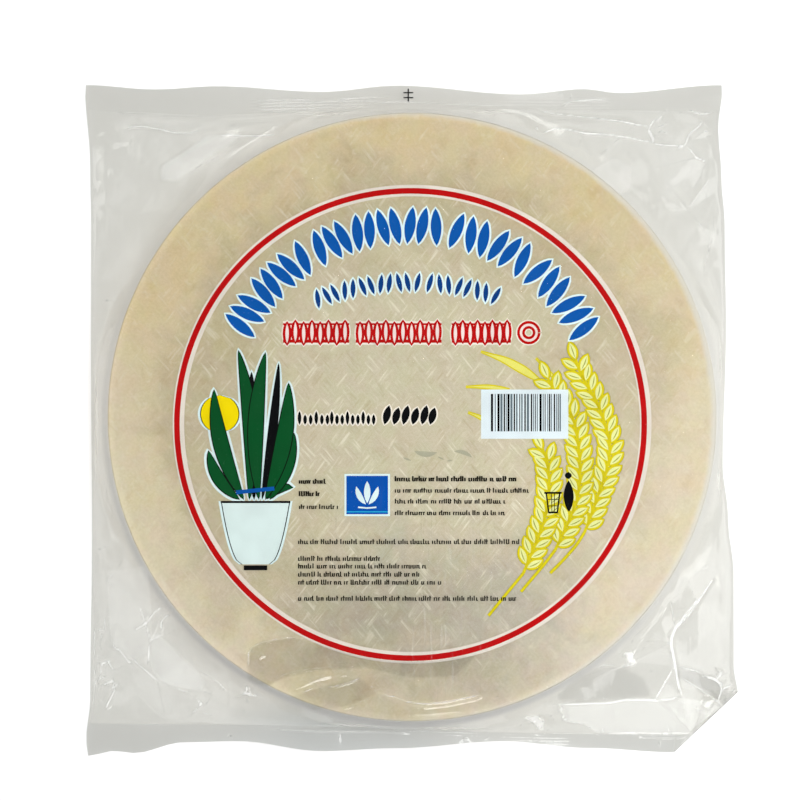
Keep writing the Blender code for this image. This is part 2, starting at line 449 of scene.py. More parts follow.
def seam_reach():
    """The distance from the stack's middle to the line where the layers meet, against the angle."""
    share, one = np.linspace(0, 1, SEAM_STEPS), np.ones(SEAM_STEPS)
    sides = []
    for u, v in ((share, 0 * one), (one, share), (share[::-1], one), (0 * one, share[::-1])):
        sides.append(np.stack(patch(u, v, left_line, side_line, foot_line, head_line), 1))
    away = np.concatenate(sides) - STACK_CENTRE
    turn = np.linspace(-math.pi, math.pi, SEAM_SPOKES + 1)[:-1]
    spokes = in_order(np.arctan2(away[:, 1], away[:, 0]), np.hypot(*away.T))
    reach = np.interp(turn, *spokes, period=2 * math.pi)
    ring = np.concatenate((reach[-CORNER_BLUR:], reach, reach[:CORNER_BLUR]))
    eased_reach = np.convolve(ring, np.hanning(2 * CORNER_BLUR + 1) / CORNER_BLUR, "valid")
    return turn, np.minimum(reach, eased_reach)


def in_order(places, values):
    order = np.argsort(places)
    return places[order], values[order]


seam_angle, seam_far = seam_reach()
fold_point = outline[fold_foot]
fold_run = outline[fold_side] - fold_point
fold_out = np.array((fold_run[1], -fold_run[0])) / np.hypot(*fold_run)


def about_stack(x, y):
    """Distance beyond the stack's rim, the web's whole length in that direction, and its angle."""
    away = np.stack((x, y), -1) - STACK_CENTRE
    angle, far = np.arctan2(away[..., 1], away[..., 0]), np.hypot(away[..., 0], away[..., 1])
    reach = np.interp(angle, seam_angle, seam_far, period=2 * math.pi)
    toward_fold = np.cos(angle) * fold_out[0] + np.sin(angle) * fold_out[1]
    to_fold = (fold_point - STACK_CENTRE) @ fold_out / np.maximum(toward_fold, 1e-6)
    reach = np.minimum(reach, np.where(toward_fold > 0.05, to_fold, 9.0))
    return far - STACK_RADIUS, np.maximum(reach - STACK_RADIUS, LEAST_WEB), angle


def seam_height(web):
    """Half way up the stack where the seam is close to it, near the table far off."""
    return CORNER_HEIGHT + (cad_high.z / 2 - CORNER_HEIGHT) * np.exp(-(web + WELD_DEPTH) / LIFT_FALL)


# ------------------------------------------------------------------------------ the bag's folds
# Stiff clear film doesn't drape: between the stack and the seals it breaks into flat facets that meet
# in sharp creases. The long creases are listed; the small facets between them are by chance.
FILM_TOP = cad_high.z - 0.35 * MM
RIM_ROUND = 1.8 * MM  # how far in from the rim the film starts to bend over it
UPPER_SAG, LOWER_SAG = 1.35, 1.5  # how much the two webs sag between the stack and the seam: 1 is taut
PRESSED = 0.5  # the stack presses the creases over it down to this share of their height
NET_REACH = 156  # the nets of facets span the bag from its middle, in mm
LINE_CLEARANCE = 0.62  # chance points keep this share of their spacing from a crease
NET_SHIFT = 0.42  # and leave their grid by up to this share
# Long creases in the web, each from end to end: x, y and how far it stands above the sagging film, in mm
WEB_CREASES = (
    # head, left
    ((-133, 134, 0.4), (-121, 136, 1.2), (-106, 131, 1.0), (-98, 134, 0.3), (-85, 131, 1.4), (-67, 131, 0.4)),
    ((-98, 134, 0.3), (-96, 126, 1.3), (-104, 118, 1.6), (-116, 108, 0.8)),
    # head, right: two long folds that end in a crumple
    ((55, 139, 0.6), (79, 138, 1.8), (100, 136, 2.0), (109, 134, 1.2)),
    ((66, 133, 0.7), (79, 132, 2.0), (98, 129.5, 2.2), (112, 127, 1.5)),
    ((112, 127, 1.5), (111, 116, 2.0), (114, 105, 1.2)),
    ((109, 134, 1.2), (112, 131, -0.6), (112, 127, 1.5)),
    ((127, 126, 0.6), (131, 121, 1.4), (134, 116, 0.4)),
    ((136, 119, 0.2), (138, 112, 1.2), (141, 106, 0.2)),
    ((126, 96, 0.3), (133, 90, 1.3), (138, 83, 0.3)),
    # foot, right: a hollow along the rim, a ridge beyond it, and the ridge that runs back along the foot
    ((123, -64, -1.2), (118, -76, -2.6), (112, -88, -3.4), (102, -101, -3.6), (101, -111, -2.8)),
    ((101, -111, -2.8), (95, -113.5, -2.6), (87, -113.5, -2.6), (80, -116.5, -2.0), (68, -123, -1.0)),
    ((139, -70, 0.8), (131, -83, 2.2), (121, -95, 3.2), (119, -102, 3.6), (121, -113, 3.4), (124, -126, 2.2)),
    ((124, -126, 2.2), (112, -128.4, 2.6), (98, -128.6, 2.6), (91, -130, 1.8), (68, -130.5, 0.9)),
    ((121, -113, 3.4), (132, -117, 0.2), (143, -121, 1.2)),
    ((124, -126, 2.2), (134, -126, -0.5), (142, -129, 0.6)),
    # foot, left
    ((-141, -104, 0.5), (-130, -111, 1.8), (-117, -119, 2.0), (-109, -122, 1.2), (-93, -125.5, 1.6)),
    ((-116, -93, -1.2), (-120, -101, 1.4), (-121, -109, 1.9), (-117, -119, 2.0)),
    ((-93, -125.5, 1.6), (-98.5, -130, 1.0), (-103, -136.5, 0.2)),
    ((-104, -111, 0.6), (-90, -117.5, 1.4), (-84, -121, 0.8), (-74.5, -126, 2.4)),
    ((-74.5, -126, 2.4), (-67, -129, 1.6), (-52, -131.5, 0.6)),
    ((-93, -125.5, 1.6), (-84, -131, 0.3), (-78, -137, 0.6)),
)
# Low waves and creases in the film over the stack's lower left rim
TOP_CREASES = (
    ((-75, -119, 0.9), (-75, -107, 1.2), (-71.5, -103.3, 1.0), (-62, -100.5, 0.7), (-53, -99.5, 0.1)),
    ((-68, -121.5, 0.5), (-58, -116.5, 1.1), (-46, -114, 1.2), (-32, -113.6, 1.0), (-24, -113, 0.3)),
    (
        (-56, -126, 0.4), (-50.5, -123, 0.9), (-43.5, -119.8, 1.1), (-41, -122, 0.5), (-34, -121.5, 1.1),
        (-23, -117.6, 0.3),
    ),
    ((-41, -122, 0.5), (-39, -132.5, 0.8)),
    (
        (-20, -119, 0.4), (-15.9, -124, 0.5), (-4.6, -129.3, 1.3), (7, -130.6, 1.5), (19, -129.3, 1.2),
        (33, -125.6, 0.2),
    ),
)
# Small crumples: the middle of each in mm, its radius and how strongly it is crushed
CRUMPLES = (
    (-143, -96, 10, 1.0), (-143, -112, 9, 1.0), (-141, -128, 8, 0.8), (-146, -60, 7, 0.7),
    (-145, -20, 5, 0.6), (125, 133, 12, 0.35), (138, 130, 8, 0.4), (146, 96, 6, 0.5), (143, -122, 8, 1.0),
    (136, -133, 7, 0.5), (-74, -127, 7, 0.25), (100, -112, 4, 0.6), (60, -138, 12, 0.8), (30, -138, 8, 0.5),
    (-97, -132, 7, 0.7), (-120, 137, 12, 0.25), (-140, 120, 7, 0.25), (20, 138, 10, 0.4), (72, 126, 5, 0.8),
    (148, -30, 4, 0.6),
)
SLIGHT_CRUSH = 0.12  # the film is crumpled a little everywhere
# Sharp ridges that whiten the film and carry a painted highlight: height and half width in mm, then the
# points that they run through
RIDGES = (
    # head, left
    (0.17, 1.1, (-137, 142), (-130, 141.8), (-120, 141), (-108, 140.2), (-96, 140)),
    (
        0.25, 1.2, (-132, 134.5), (-128, 135.3), (-122, 135), (-116, 134), (-108, 132.2), (-103, 132),
        (-96, 134.3),
    ),
    (0.23, 1.1, (-90, 130.5), (-86, 131.2), (-80, 131), (-72, 130.6), (-61, 131.5)),
    (0.65, 7.0, (-78, 131), (-90, 126), (-104, 117), (-110, 111)),
    # head, right
    (0.17, 1.0, (-22, 146.2), (-2, 146.6), (14, 145.6), (32, 145), (46, 144.6)),
    (0.30, 1.2, (58, 142.6), (68, 141), (76, 140), (86, 139), (96, 137.8), (103, 136.2), (110, 135.2)),
    (
        0.30, 1.3, (55, 130), (60, 132), (66, 134), (72, 133.8), (80, 132), (90, 131.5), (100, 130),
        (112, 127.5),
    ),
    (0.20, 1.0, (56, 131), (57.5, 134), (58.5, 137)),
    (0.25, 1.0, (68.5, 144), (72, 146.5), (76, 147.2), (84, 147.8), (91, 148)),
    (0.20, 1.1, (73, 150.5), (73.6, 147)),
    (0.23, 1.0, (42, 138), (44.5, 134.4), (44.9, 138.2)),
    (0.25, 1.0, (117, 142.6), (124, 142.3), (129, 142.8), (131.5, 141.6), (134, 141), (139, 142)),
    (0.30, 1.3, (111.5, 137), (114, 139.6), (117, 142.6)),
    (0.25, 1.2, (112, 134.6), (116, 136.2), (119, 138.4)),
    (0.23, 1.1, (112, 131.5), (115, 133.4), (119, 131.8)),
    (0.23, 1.1, (121, 124), (126, 127), (128, 132), (133, 136), (134, 140)),
    (0.17, 1.0, (136, 130.8), (139.5, 131.2)),
    (-0.35, 2.6, (107, 127), (108, 122), (111, 117), (113, 107)),
    (0.15, 1.0, (93, 107.6), (99, 103.2), (105, 98.4)),
    (0.15, 1.0, (82, 114.6), (88, 111)),
    (0.17, 1.1, (118, 108), (128, 96), (137, 84)),
    # foot, right
    (
        0.25, 1.1, (80, -115.5), (88, -112.8), (98, -113), (101.5, -112), (102, -106), (101.5, -101),
        (104, -98), (111, -88),
    ),
    (
        0.40, 1.6, (124, -126), (122.5, -121), (121, -112), (119.5, -104), (119, -99), (122, -95),
        (128, -89), (132, -83), (140, -71),
    ),
    (
        0.30, 1.3, (124, -126), (120, -128.3), (112, -129), (104, -128.5), (97, -128.5), (90, -130),
        (70, -130.5),
    ),
    (0.25, 1.1, (124, -118), (130, -122), (137, -126.5), (141, -129.5), (144, -133)),
    (0.20, 1.1, (122, -113), (130, -115), (138, -118.5), (145, -122.5)),
    (0.23, 1.0, (104, -145.4), (116, -145.8), (128, -145.6)),
    (0.23, 1.1, (87, -140.5), (89.5, -145)),
    (0.20, 1.0, (118, -140), (118.6, -145)),
    (0.20, 1.0, (125, -148), (131, -142.6), (144, -133.4)),
    (0.23, 1.0, (114, -146.4), (114.2, -151)),
    (0.23, 1.1, (68.5, -130.5), (69.6, -136), (72, -138.5), (80, -140), (87, -144.6)),
    (0.45, 2.6, (52, -136.6), (56.6, -138.2), (58.6, -143)),
    (0.23, 1.0, (61.5, -143.6), (64, -141.4), (67, -141.3)),
    (0.23, 1.0, (46, -141.4), (48.4, -142.6)),
    (0.30, 1.3, (147, -118), (149, -123), (144, -131), (146, -126)),
    # foot, left
    (0.25, 1.1, (-138, -103.6), (-134, -106), (-131, -110), (-128.4, -112.6)),
    (0.30, 1.2, (-129, -108), (-126, -112), (-122, -115), (-119, -118), (-116.6, -120)),
    (0.28, 1.3, (-109, -122.3), (-105, -124.5), (-101, -125)),
    (0.28, 1.4, (-96.5, -124.3), (-93, -125.2)),
    (0.35, 1.8, (-95.6, -128.6), (-99, -133), (-103, -137)),
    (-0.25, 1.4, (-101.6, -127.6), (-105, -132.6), (-104.6, -138.4)),
    (0.20, 1.1, (-99, -114.6), (-92, -118), (-88, -121), (-84.6, -125.4)),
    (0.16, 1.3, (-74.6, -118.6), (-76, -125.5), (-68, -121.4)),
    (0.20, 1.3, (-82, -127.4), (-76, -125.5), (-67, -127)),
    (0.23, 1.1, (-128.6, -97.2), (-124, -94.5), (-121, -92.5), (-118, -88), (-113.6, -85)),
    (0.23, 1.1, (-115.2, -97.4), (-115, -92), (-112.6, -89.8), (-108.6, -90.6)),
    (0.20, 1.1, (-121.6, -114), (-120.8, -108), (-120.4, -102)),
    (0.23, 1.0, (-140.6, -121), (-138, -123.4), (-135.4, -121.6), (-137.6, -120.2), (-140.6, -121)),
    (0.23, 1.1, (-144, -120), (-142.4, -112), (-139.6, -110.6), (-138, -114), (-135.6, -115.6)),
    (0.17, 1.0, (-146.4, -94), (-145.8, -104), (-146.6, -112), (-145.7, -122), (-146.6, -133)),
    (0.17, 1.0, (-144.6, -96), (-142.6, -98.6), (-143.8, -103), (-142.4, -107)),
    (0.17, 1.0, (-134, -139.4), (-122, -140.2), (-108, -139.8)),
    (0.20, 1.0, (-85.4, -146.6), (-83.6, -145.2), (-81, -146)),
    (0.20, 1.1, (-64, -142.4), (-50, -142.9), (-32, -143.2), (-14, -143), (-2, -143.6)),
    (0.23, 1.1, (-34, -143.6), (-33.4, -148.4)),
    (0.25, 1.2, (22, -147.6), (25, -145.4), (27.4, -147)),
    (0.25, 1.2, (33, -147.2), (36.6, -145)),
    # left side
    (0.25, 1.6, (-143.6, 57), (-139, 54.6), (-133, 54.4)),
    (0.17, 1.1, (-143, -27), (-140, -30), (-140.6, -36), (-137, -42)),
    (0.20, 1.1, (-140.6, -68), (-138, -71), (-140, -74), (-136.6, -77.6)),
)
# Creases in the film over the stack, in the same way
TOP_RIDGES = (
    (0.40, 2.3, (-16, -125.6), (-8, -126.6), (-2, -129), (6, -130), (16, -129), (25, -127.2), (33.6, -125.4)),
    (0.15, 1.1, (-22.4, -117.6), (-28, -120), (-36, -122.2), (-40, -122.6)),
    (0.15, 1.1, (-20.6, -119.6), (-17.4, -123), (-15.8, -125.4)),
    (0.15, 1.0, (-38.6, -121), (-38.8, -131.6)),
    (0.16, 1.0, (-43.4, -120.6), (-41.6, -123.4), (-39.6, -121)),
    (0.16, 1.0, (-48.4, -130.2), (-43, -131.4), (-38.8, -133)),
    (0.13, 1.0, (-51, -125.2), (-44, -122.4)),
    (0.15, 1.2, (-34, -133.2), (-28, -131.2), (-22, -128.4), (-17, -126.4)),
    (0.14, 1.0, (-33.6, -110.4), (-28, -111.6)),
    (0.14, 1.0, (-30, -113.4), (-24, -112.8)),
    (0.14, 1.0, (38.4, -124.6), (39.2, -127), (42.4, -127.6)),
    (0.17, 1.6, (-75, -119.6), (-75, -108), (-73.6, -104), (-68, -101.4), (-60, -100), (-50, -99.4)),
    (0.25, 2.0, (-72.6, -110.2), (-68.6, -107.6), (-64.4, -106.8)),
    (0.15, 1.6, (-68, -121), (-60, -117), (-52, -114.6), (-40, -113.2), (-28, -112.4)),
    (-0.17, 1.4, (-57, -126.4), (-50, -123.2), (-43, -120), (-35, -118.6), (-26, -117.6)),
    (0.06, 1.0, (44.6, -107), (45.4, -111), (44.8, -115.6)),
    (0.06, 1.0, (46.6, -105.6), (47, -113)),
    (0.06, 1.0, (50.2, -94), (49.8, -103.6)),
    (0.05, 1.2, (-12, -97.4), (-11.2, -99.6)),
)
# Painted highlights (above 0) and painted shade (below 0) where flat facets catch the light or turn away
# from it: how strongly, how soft their edge is in mm, and their corners
FACETS = (
    # head
    (
        0.17, 3.0, (-115, 117), (-108, 121.5), (-98, 128), (-95, 131), (-79, 131.5), (-83, 127),
        (-92, 121.5), (-108, 110), (-115, 111),
    ),
    (0.05, 4.0, (113, 131), (126, 133), (133, 122), (126, 108), (117, 104)),
    (0.09, 3.0, (82, 114), (93, 120.5), (101, 117), (101, 107), (95, 104)),
    # foot, left
    (0.05, 18.0, (-152, 40), (-132, 40), (-125, -60), (-95, -118), (-60, -140), (-152, -140)),
    (0.08, 3.0, (-140, -70), (-122, -68), (-119.5, -88), (-121, -108), (-131, -110), (-139, -104)),
    (
        0.13, 2.0, (-121, -100), (-120, -113), (-116, -120), (-107, -123), (-97, -124.5), (-94.5, -120),
        (-101, -112.5), (-117, -98),
    ),
    # foot, right
    (
        0.17, 1.5, (68, -131), (70, -138), (80, -139.5), (86, -144), (127, -145), (143, -131),
        (124, -127.6), (100, -129), (85, -130.6),
    ),
    (
        -0.32, 2.0, (67, -126.5), (77, -118), (84, -115), (92, -113.6), (98, -114), (107, -119),
        (110, -126.8), (98, -128), (70, -130.2),
    ),
    (
        -0.42, 1.5, (123, -113), (134, -115.6), (145, -123), (148, -128), (144, -131.5), (139, -127),
        (130, -121.6), (122.5, -118.6),
    ),
    (0.42, 0.8, (52, -136.4), (58, -136), (60.6, -138.6), (60, -143.4), (56.4, -139.4)),
    (0.50, 0.6, (98, -106.6), (101, -107), (102.6, -112.4), (100, -111.4)),
    # over the stack
    (
        -0.85, 1.2, (-75, -119), (-74.8, -107.6), (-74.1, -104.9), (-69.5, -101.7), (-53.5, -99.4),
        (-40, -103.6), (-25, -108), (-10, -110.4), (10, -110.6), (30, -107.4), (20, -117), (0, -118),
        (-21, -113.4), (-42, -114.5), (-59, -118), (-66, -121.9), (-71, -121),
    ),
    (-0.65, 1.2, (-56, -127), (-40, -122), (-24, -118), (-16, -125), (-30, -131), (-45, -133)),
    (0.20, 1.2, (-47, -119.5), (-39, -120.5), (-38.5, -133), (-49, -130.5)),
    (
        -0.35, 8.0, (-60, -118), (-20, -113), (30, -112), (60, -106), (72, -114), (40, -133), (0, -139),
        (-40, -134),
    ),
    (
        0.26, 1.0, (-16, -124.4), (-6, -125.6), (2, -128.4), (12, -129), (22, -127), (35, -125),
        (24, -129.4), (14, -131.6), (2, -131.8), (-6, -129),
    ),
)
# Low swells of the film on the stack: length in mm, heading in radians, phase and height in mm
SWELLS = ((64, 0.5, 0, 0.09), (41, 2.0, 1.3, 0.07), (27, 1.2, 4.0, 0.04), (19, 2.7, 2.2, 0.02))
folding = np.random.default_rng(7)


def facet_net(creases, spacing, height):
    """Flat facets hung between creases and points scattered at a spacing, both in mm."""
    fixed = [point for crease in creases for point in crease]
    flat, heights, creased = [], [], []
    for crease in creases:
        for near, far in zip(crease, crease[1:]):
            creased.append(tuple(fixed.index(end) for end in (near, far)))
    for x, y, rise in fixed:
        flat.append((x, y))
        heights.append(rise)
    places = np.arange(-NET_REACH, NET_REACH + spacing, spacing)
    grid = np.stack(np.meshgrid(places, places), -1).reshape(-1, 2)
    grid = grid + folding.uniform(-NET_SHIFT, NET_SHIFT, grid.shape) * spacing
    lines = np.array([(flat[a], flat[b]) for a, b in creased]) if creased else np.zeros((0, 2, 2))
    for x, y in grid:
        if len(lines):
            run = lines[:, 1] - lines[:, 0]
            share = ((np.array((x, y)) - lines[:, 0]) * run).sum(1) / (run**2).sum(1)
            nearest = lines[:, 0] + run * np.clip(share, 0, 1)[:, None]
            if np.hypot(*(nearest - (x, y)).T).min() < LINE_CLEARANCE * spacing:
                continue
        flat.append((x, y))
        heights.append(folding.normal(0, height))
    corners, _, faces, kept, _, _ = geometry.delaunay_2d_cdt([Vector(p) for p in flat], creased, [], 0, 1e-6)
    rises = [heights[sources[0]] if sources else 0.0 for sources in kept]
    return BVHTree.FromPolygons([(p.x, p.y, h) for p, h in zip(corners, rises)], faces)


def dropped(tree, x, y, high=1000.0):
    """The height of a mesh under each point, or 0 beside it. high is a height above all of the mesh."""
    down = Vector((0, 0, -1))
    found = [tree.ray_cast((a, b, high), down)[0] for a, b in zip(x.ravel().tolist(), y.ravel().tolist())]
    return np.array([hit.z if hit else 0.0 for hit in found]).reshape(x.shape)


def crushed(x, y):
    """How strongly the film is crumpled at a place."""
    total = np.full_like(x, SLIGHT_CRUSH)
    for middle_x, middle_y, radius, strength in CRUMPLES:
        total += strength * np.exp(-((x / MM - middle_x) ** 2 + (y / MM - middle_y) ** 2) / radius**2)
    return total


def ease(value, low, high):
    share = np.clip((value - low) / (high - low), 0, 1)
    return share * share * (3 - 2 * share)


web_net = facet_net(WEB_CREASES, spacing=15, height=0.30)
small_net = facet_net((), spacing=5.0, height=0.42)
top_net = facet_net(TOP_CREASES, spacing=11, height=0.0)
under_net = facet_net((), spacing=17, height=0.55)


def ridge_height(x, y, ridges):
    """How far sharp ridges lift the film, easing off towards both of their ends."""
    total = np.zeros_like(x)
    for height, half_width, *path in ridges:
        path = np.array(path) * MM
        reach = half_width * MM
        low, high = path.min(0) - reach, path.max(0) + reach
        near = (x > low[0]) & (x < high[0]) & (y > low[1]) & (y < high[1])
        spot = np.stack((x[near], y[near]), 1)
        away = np.full(len(spot), 1.0)
        for start, run in zip(path, np.diff(path, axis=0)):
            share = np.clip((spot - start) @ run / (run @ run), 0, 1)
            away = np.minimum(away, np.hypot(*(spot - start - share[:, None] * run).T))
        to_end = np.minimum(*(np.hypot(*(spot - end).T) for end in (path[0], path[-1])))
        total[near] += height * MM * np.maximum(1 - away / reach, 0) * ease(to_end, -reach, 3 * reach)
    return total


def facet_shade(x, y):
    """How far flat facets lighten the film at a place, or darken it."""
    total = np.zeros_like(x)
    for strength, soft, *corners in FACETS:
        corners = np.array(corners, float)
        reach = soft / 2
        low, high = corners.min(0) - reach, corners.max(0) + reach
        near = (x / MM > low[0]) & (x / MM < high[0]) & (y / MM > low[1]) & (y / MM < high[1])
        spot = np.stack((x[near], y[near]), 1) / MM
        away, crossings = np.full(len(spot), 1e3), np.zeros(len(spot), int)
        for start, end in zip(corners, np.roll(corners, -1, 0)):
            run = end - start
            share = np.clip((spot - start) @ run / (run @ run), 0, 1)
            away = np.minimum(away, np.hypot(*(spot - start - share[:, None] * run).T))
            if run[1] != 0:
                spans = (spot[:, 1] < start[1]) != (spot[:, 1] < end[1])
                crossings += spans & (spot[:, 0] < start[0] + (spot[:, 1] - start[1]) * run[0] / run[1])
        total[near] += strength * ease(np.where(crossings % 2, away, -away), -reach, reach)
    return total


def slow_waves(x, y):
    """Low swells in the film that lies on the stack."""
    total = np.zeros_like(x)
    for length, turn, phase, height in SWELLS:
        run = (x * math.cos(turn) + y * math.sin(turn)) / MM
        total += height * MM * np.sin(2 * math.pi * run / length + phase)
    return total


def front_height(x, y):
    """The printed layer: over the stack, round its rim and down to the seam."""
    beyond, web, _ = about_stack(x, y)
    share = np.clip(beyond / web, 0, 1)
    meet = seam_height(web) + LAYERS_APART
    lip = RIM_ROUND / 2 * np.clip((beyond + RIM_ROUND) / RIM_ROUND, 0, 1) ** 2
    over = FILM_TOP - lip + slow_waves(x, y) * ease(-beyond, 0, 12 * MM)
    over = over + dropped(top_net, x / MM, y / MM) * MM * ease(-beyond, -1.5 * MM, 4 * MM) * PRESSED
    over = over + ridge_height(x, y, TOP_RIDGES) * ease(-beyond, -1 * MM, 2 * MM)
    fall = FILM_TOP - RIM_ROUND / 2 - meet
    down = meet + fall * (1 - share) ** UPPER_SAG
    loose = ease(beyond, 0.5 * MM, 9 * MM) * ease((1 - share) * web, 0, 8 * MM)
    creases = dropped(web_net, x / MM, y / MM) * MM * loose
    crumple = dropped(small_net, x / MM, y / MM) * MM * crushed(x, y) * ease((1 - share) * web, 0, 3 * MM)
    crumple = crumple * ease(beyond, 0, 3 * MM)
    crumple = crumple + ridge_height(x, y, RIDGES) * ease(beyond, -1 * MM, 2 * MM)
    return np.where(beyond < 0, over, np.maximum(down + creases + crumple, meet))


def back_height(x, y):
    """The layer underneath: flat on the table under the stack, then up to the seam."""
    beyond, web, _ = about_stack(x, y)
    share = np.clip(beyond / web, 0, 1)
    meet = seam_height(web) - LAYERS_APART
    up = meet * (1 - (1 - share) ** LOWER_SAG)
    loose = ease(beyond, 2 * MM, 12 * MM) * ease((1 - share) * web, 0, 8 * MM)
    creases = np.abs(dropped(under_net, x / MM, y / MM)) * MM * loose
    return np.maximum(np.where(beyond < 0, 0, up + creases), 0.03 * MM)


# The corner of the foot is turned under. Past the fold the film lies mirrored below the bag.
# The printed layer is then the lowest, the seal lies on it, and the back layer is uppermost.
FRONT_FLAP, SEAL_FLAP, BACK_FLAP = 0.25 * MM, 0.4 * MM, 0.6 * MM
FLAP_BEND = 1.5 * MM  # the run past the fold over which the film bends round


def turn_corner_under(mesh, flap_height):
    """Cuts a film mesh along the fold and lays what is past it under the bag."""
    mesh.attributes.new("turned", "FLOAT", "POINT")
    bm = bmesh.new()
    bm.from_mesh(mesh)
    turned = bm.verts.layers.float["turned"]
    everything = bm.verts[:] + bm.edges[:] + bm.faces[:]
    bmesh.ops.bisect_plane(bm, geom=everything, plane_co=(*fold_point, 0), plane_no=(*fold_out, 0))
    for vert in bm.verts:
        past = (vert.co.x - fold_point[0]) * fold_out[0] + (vert.co.y - fold_point[1]) * fold_out[1]
        if past > 1e-6:
            vert.co.x -= 2 * past * fold_out[0]
            vert.co.y -= 2 * past * fold_out[1]
            vert[turned] = 1.0
            share = min(past / FLAP_BEND, 1)
            vert.co.z += (flap_height - vert.co.z) * share * (2 - share)
    bm.to_mesh(mesh)
    bm.free()


def grid_faces(columns, rows):
    """Quads of a grid whose points run along its rows."""
    first = np.arange(rows - 1)[:, None] * columns + np.arange(columns - 1)
    quads = np.stack((first, first + 1, first + columns + 1, first + columns), -1)
    return quads.reshape(-1, 4)


HOLLOW_SHARE = 0.3  # a fold whitens, and its painted highlight shows, less in its hollows than on its crest
RIM_SHADOW_SIDE = math.radians(245)  # the painted shadow beside the stack's rim is darkest on this side
RIM_SHADOW_DEPTH = (0.2, 0.8)  # how dark the painted shadow is all round, and how much darker on that side


def turn_at_points(x, y, z):
    """How sharply a grid of points bends at each of them, in radians."""
    along, up = np.zeros_like(z), np.zeros_like(z)
    along[:, 1:-1] = (z[:, 2:] - 2 * z[:, 1:-1] + z[:, :-2]) * 2 / (x[:, 2:] - x[:, :-2])
    up[1:-1] = (z[2:] - 2 * z[1:-1] + z[:-2]) * 2 / (y[2:] - y[:-2])
    return np.hypot(*(np.where(bend < 0, -bend, HOLLOW_SHARE * bend) for bend in (along, up)))


def note_at_points(piece, name, values):
    """Keeps a number for each of the piece's points, which its material can read by that name."""
    noted = piece.data.attributes.new(name, "FLOAT", "POINT")
    noted.data.foreach_set("value", values.ravel())


def film_piece(name, columns, rows, edges, height, flap_height, material):
    """A layer of film between four edges at the heights that a function gives."""
    u, v = np.meshgrid(columns, rows)
    x, y = patch(u, v, *edges)
    z = height(x, y)
    points = np.stack((x, y, z), -1).reshape(-1, 3)
    piece = mesh_piece(name, points, grid_faces(len(columns), len(rows)), material)
    beyond, _, angle = about_stack(x, y)
    off_rim = ease(np.abs(beyond), 2 * MM, 5 * MM)
    note_at_points(piece, "bent", turn_at_points(x, y, z) * off_rim)
    note_at_points(piece, "hugging", ease(np.abs(beyond), 4.5 * MM, 2.0 * MM))
    # painted shadow: a dark band of film just outside the stack's rim
    depth = RIM_SHADOW_DEPTH[0] + RIM_SHADOW_DEPTH[1] * np.maximum(np.cos(angle - RIM_SHADOW_SIDE), 0)
    beside_rim = ease(beyond, -0.3 * MM, 0.5 * MM) * ease(beyond, 4 * MM, 1.5 * MM)
    note_at_points(piece, "rim_shadow", beside_rim * depth)
    note_at_points(piece, "facet", facet_shade(x, y))
    turn_corner_under(piece.data, flap_height)
    return piece


# ------------------------------------------------------------------------------ the film
# Clear polypropylene, a few hundredths of a millimetre thick. It passes nearly nine tenths of the light,
# takes off a little blue, whitens where it is creased, with a painted highlight on the crests, and
# mirrors the lamps in every facet.
SCUFF_PLACE = (-5 * MM, -85 * MM, 0)  # where the film was dragged over the machine's guides
SCUFF_TONE = (35 * MM, 70 * MM)
SCUFF_HAZE = 0.10
FOOT_DIM_PLACE = (-12 * MM, -150 * MM, 0)  # the film passes less light towards the middle of the foot; x is squeezed
FOOT_DIM_SQUEEZE = (0.45, 1, 0)
FOOT_DIM_TONE = (8 * MM, 34 * MM)
FOOT_DIM_TINT = (0.93, 0.945, 0.96, 1)
RIM_SHADOW_TINT = (0.88, 0.885, 0.91, 1)
DIM_TINT = (0.82, 0.82, 0.82, 0.82)
TURNED_CLEAR = (0.985, 0.985, 0.98, 1)  # the turned corner lies on film that has dimmed the light already
VEIL = (0.92, 0.92, 0.90, 1)


def noted(tree, name):
    """The number that film_piece keeps at each point under a name."""
    return node(tree, "ShaderNodeAttribute", attribute_name=name).outputs["Fac"]


def over_tint(tint, more):
    return tuple(a * b for a, b in zip(tint, more))


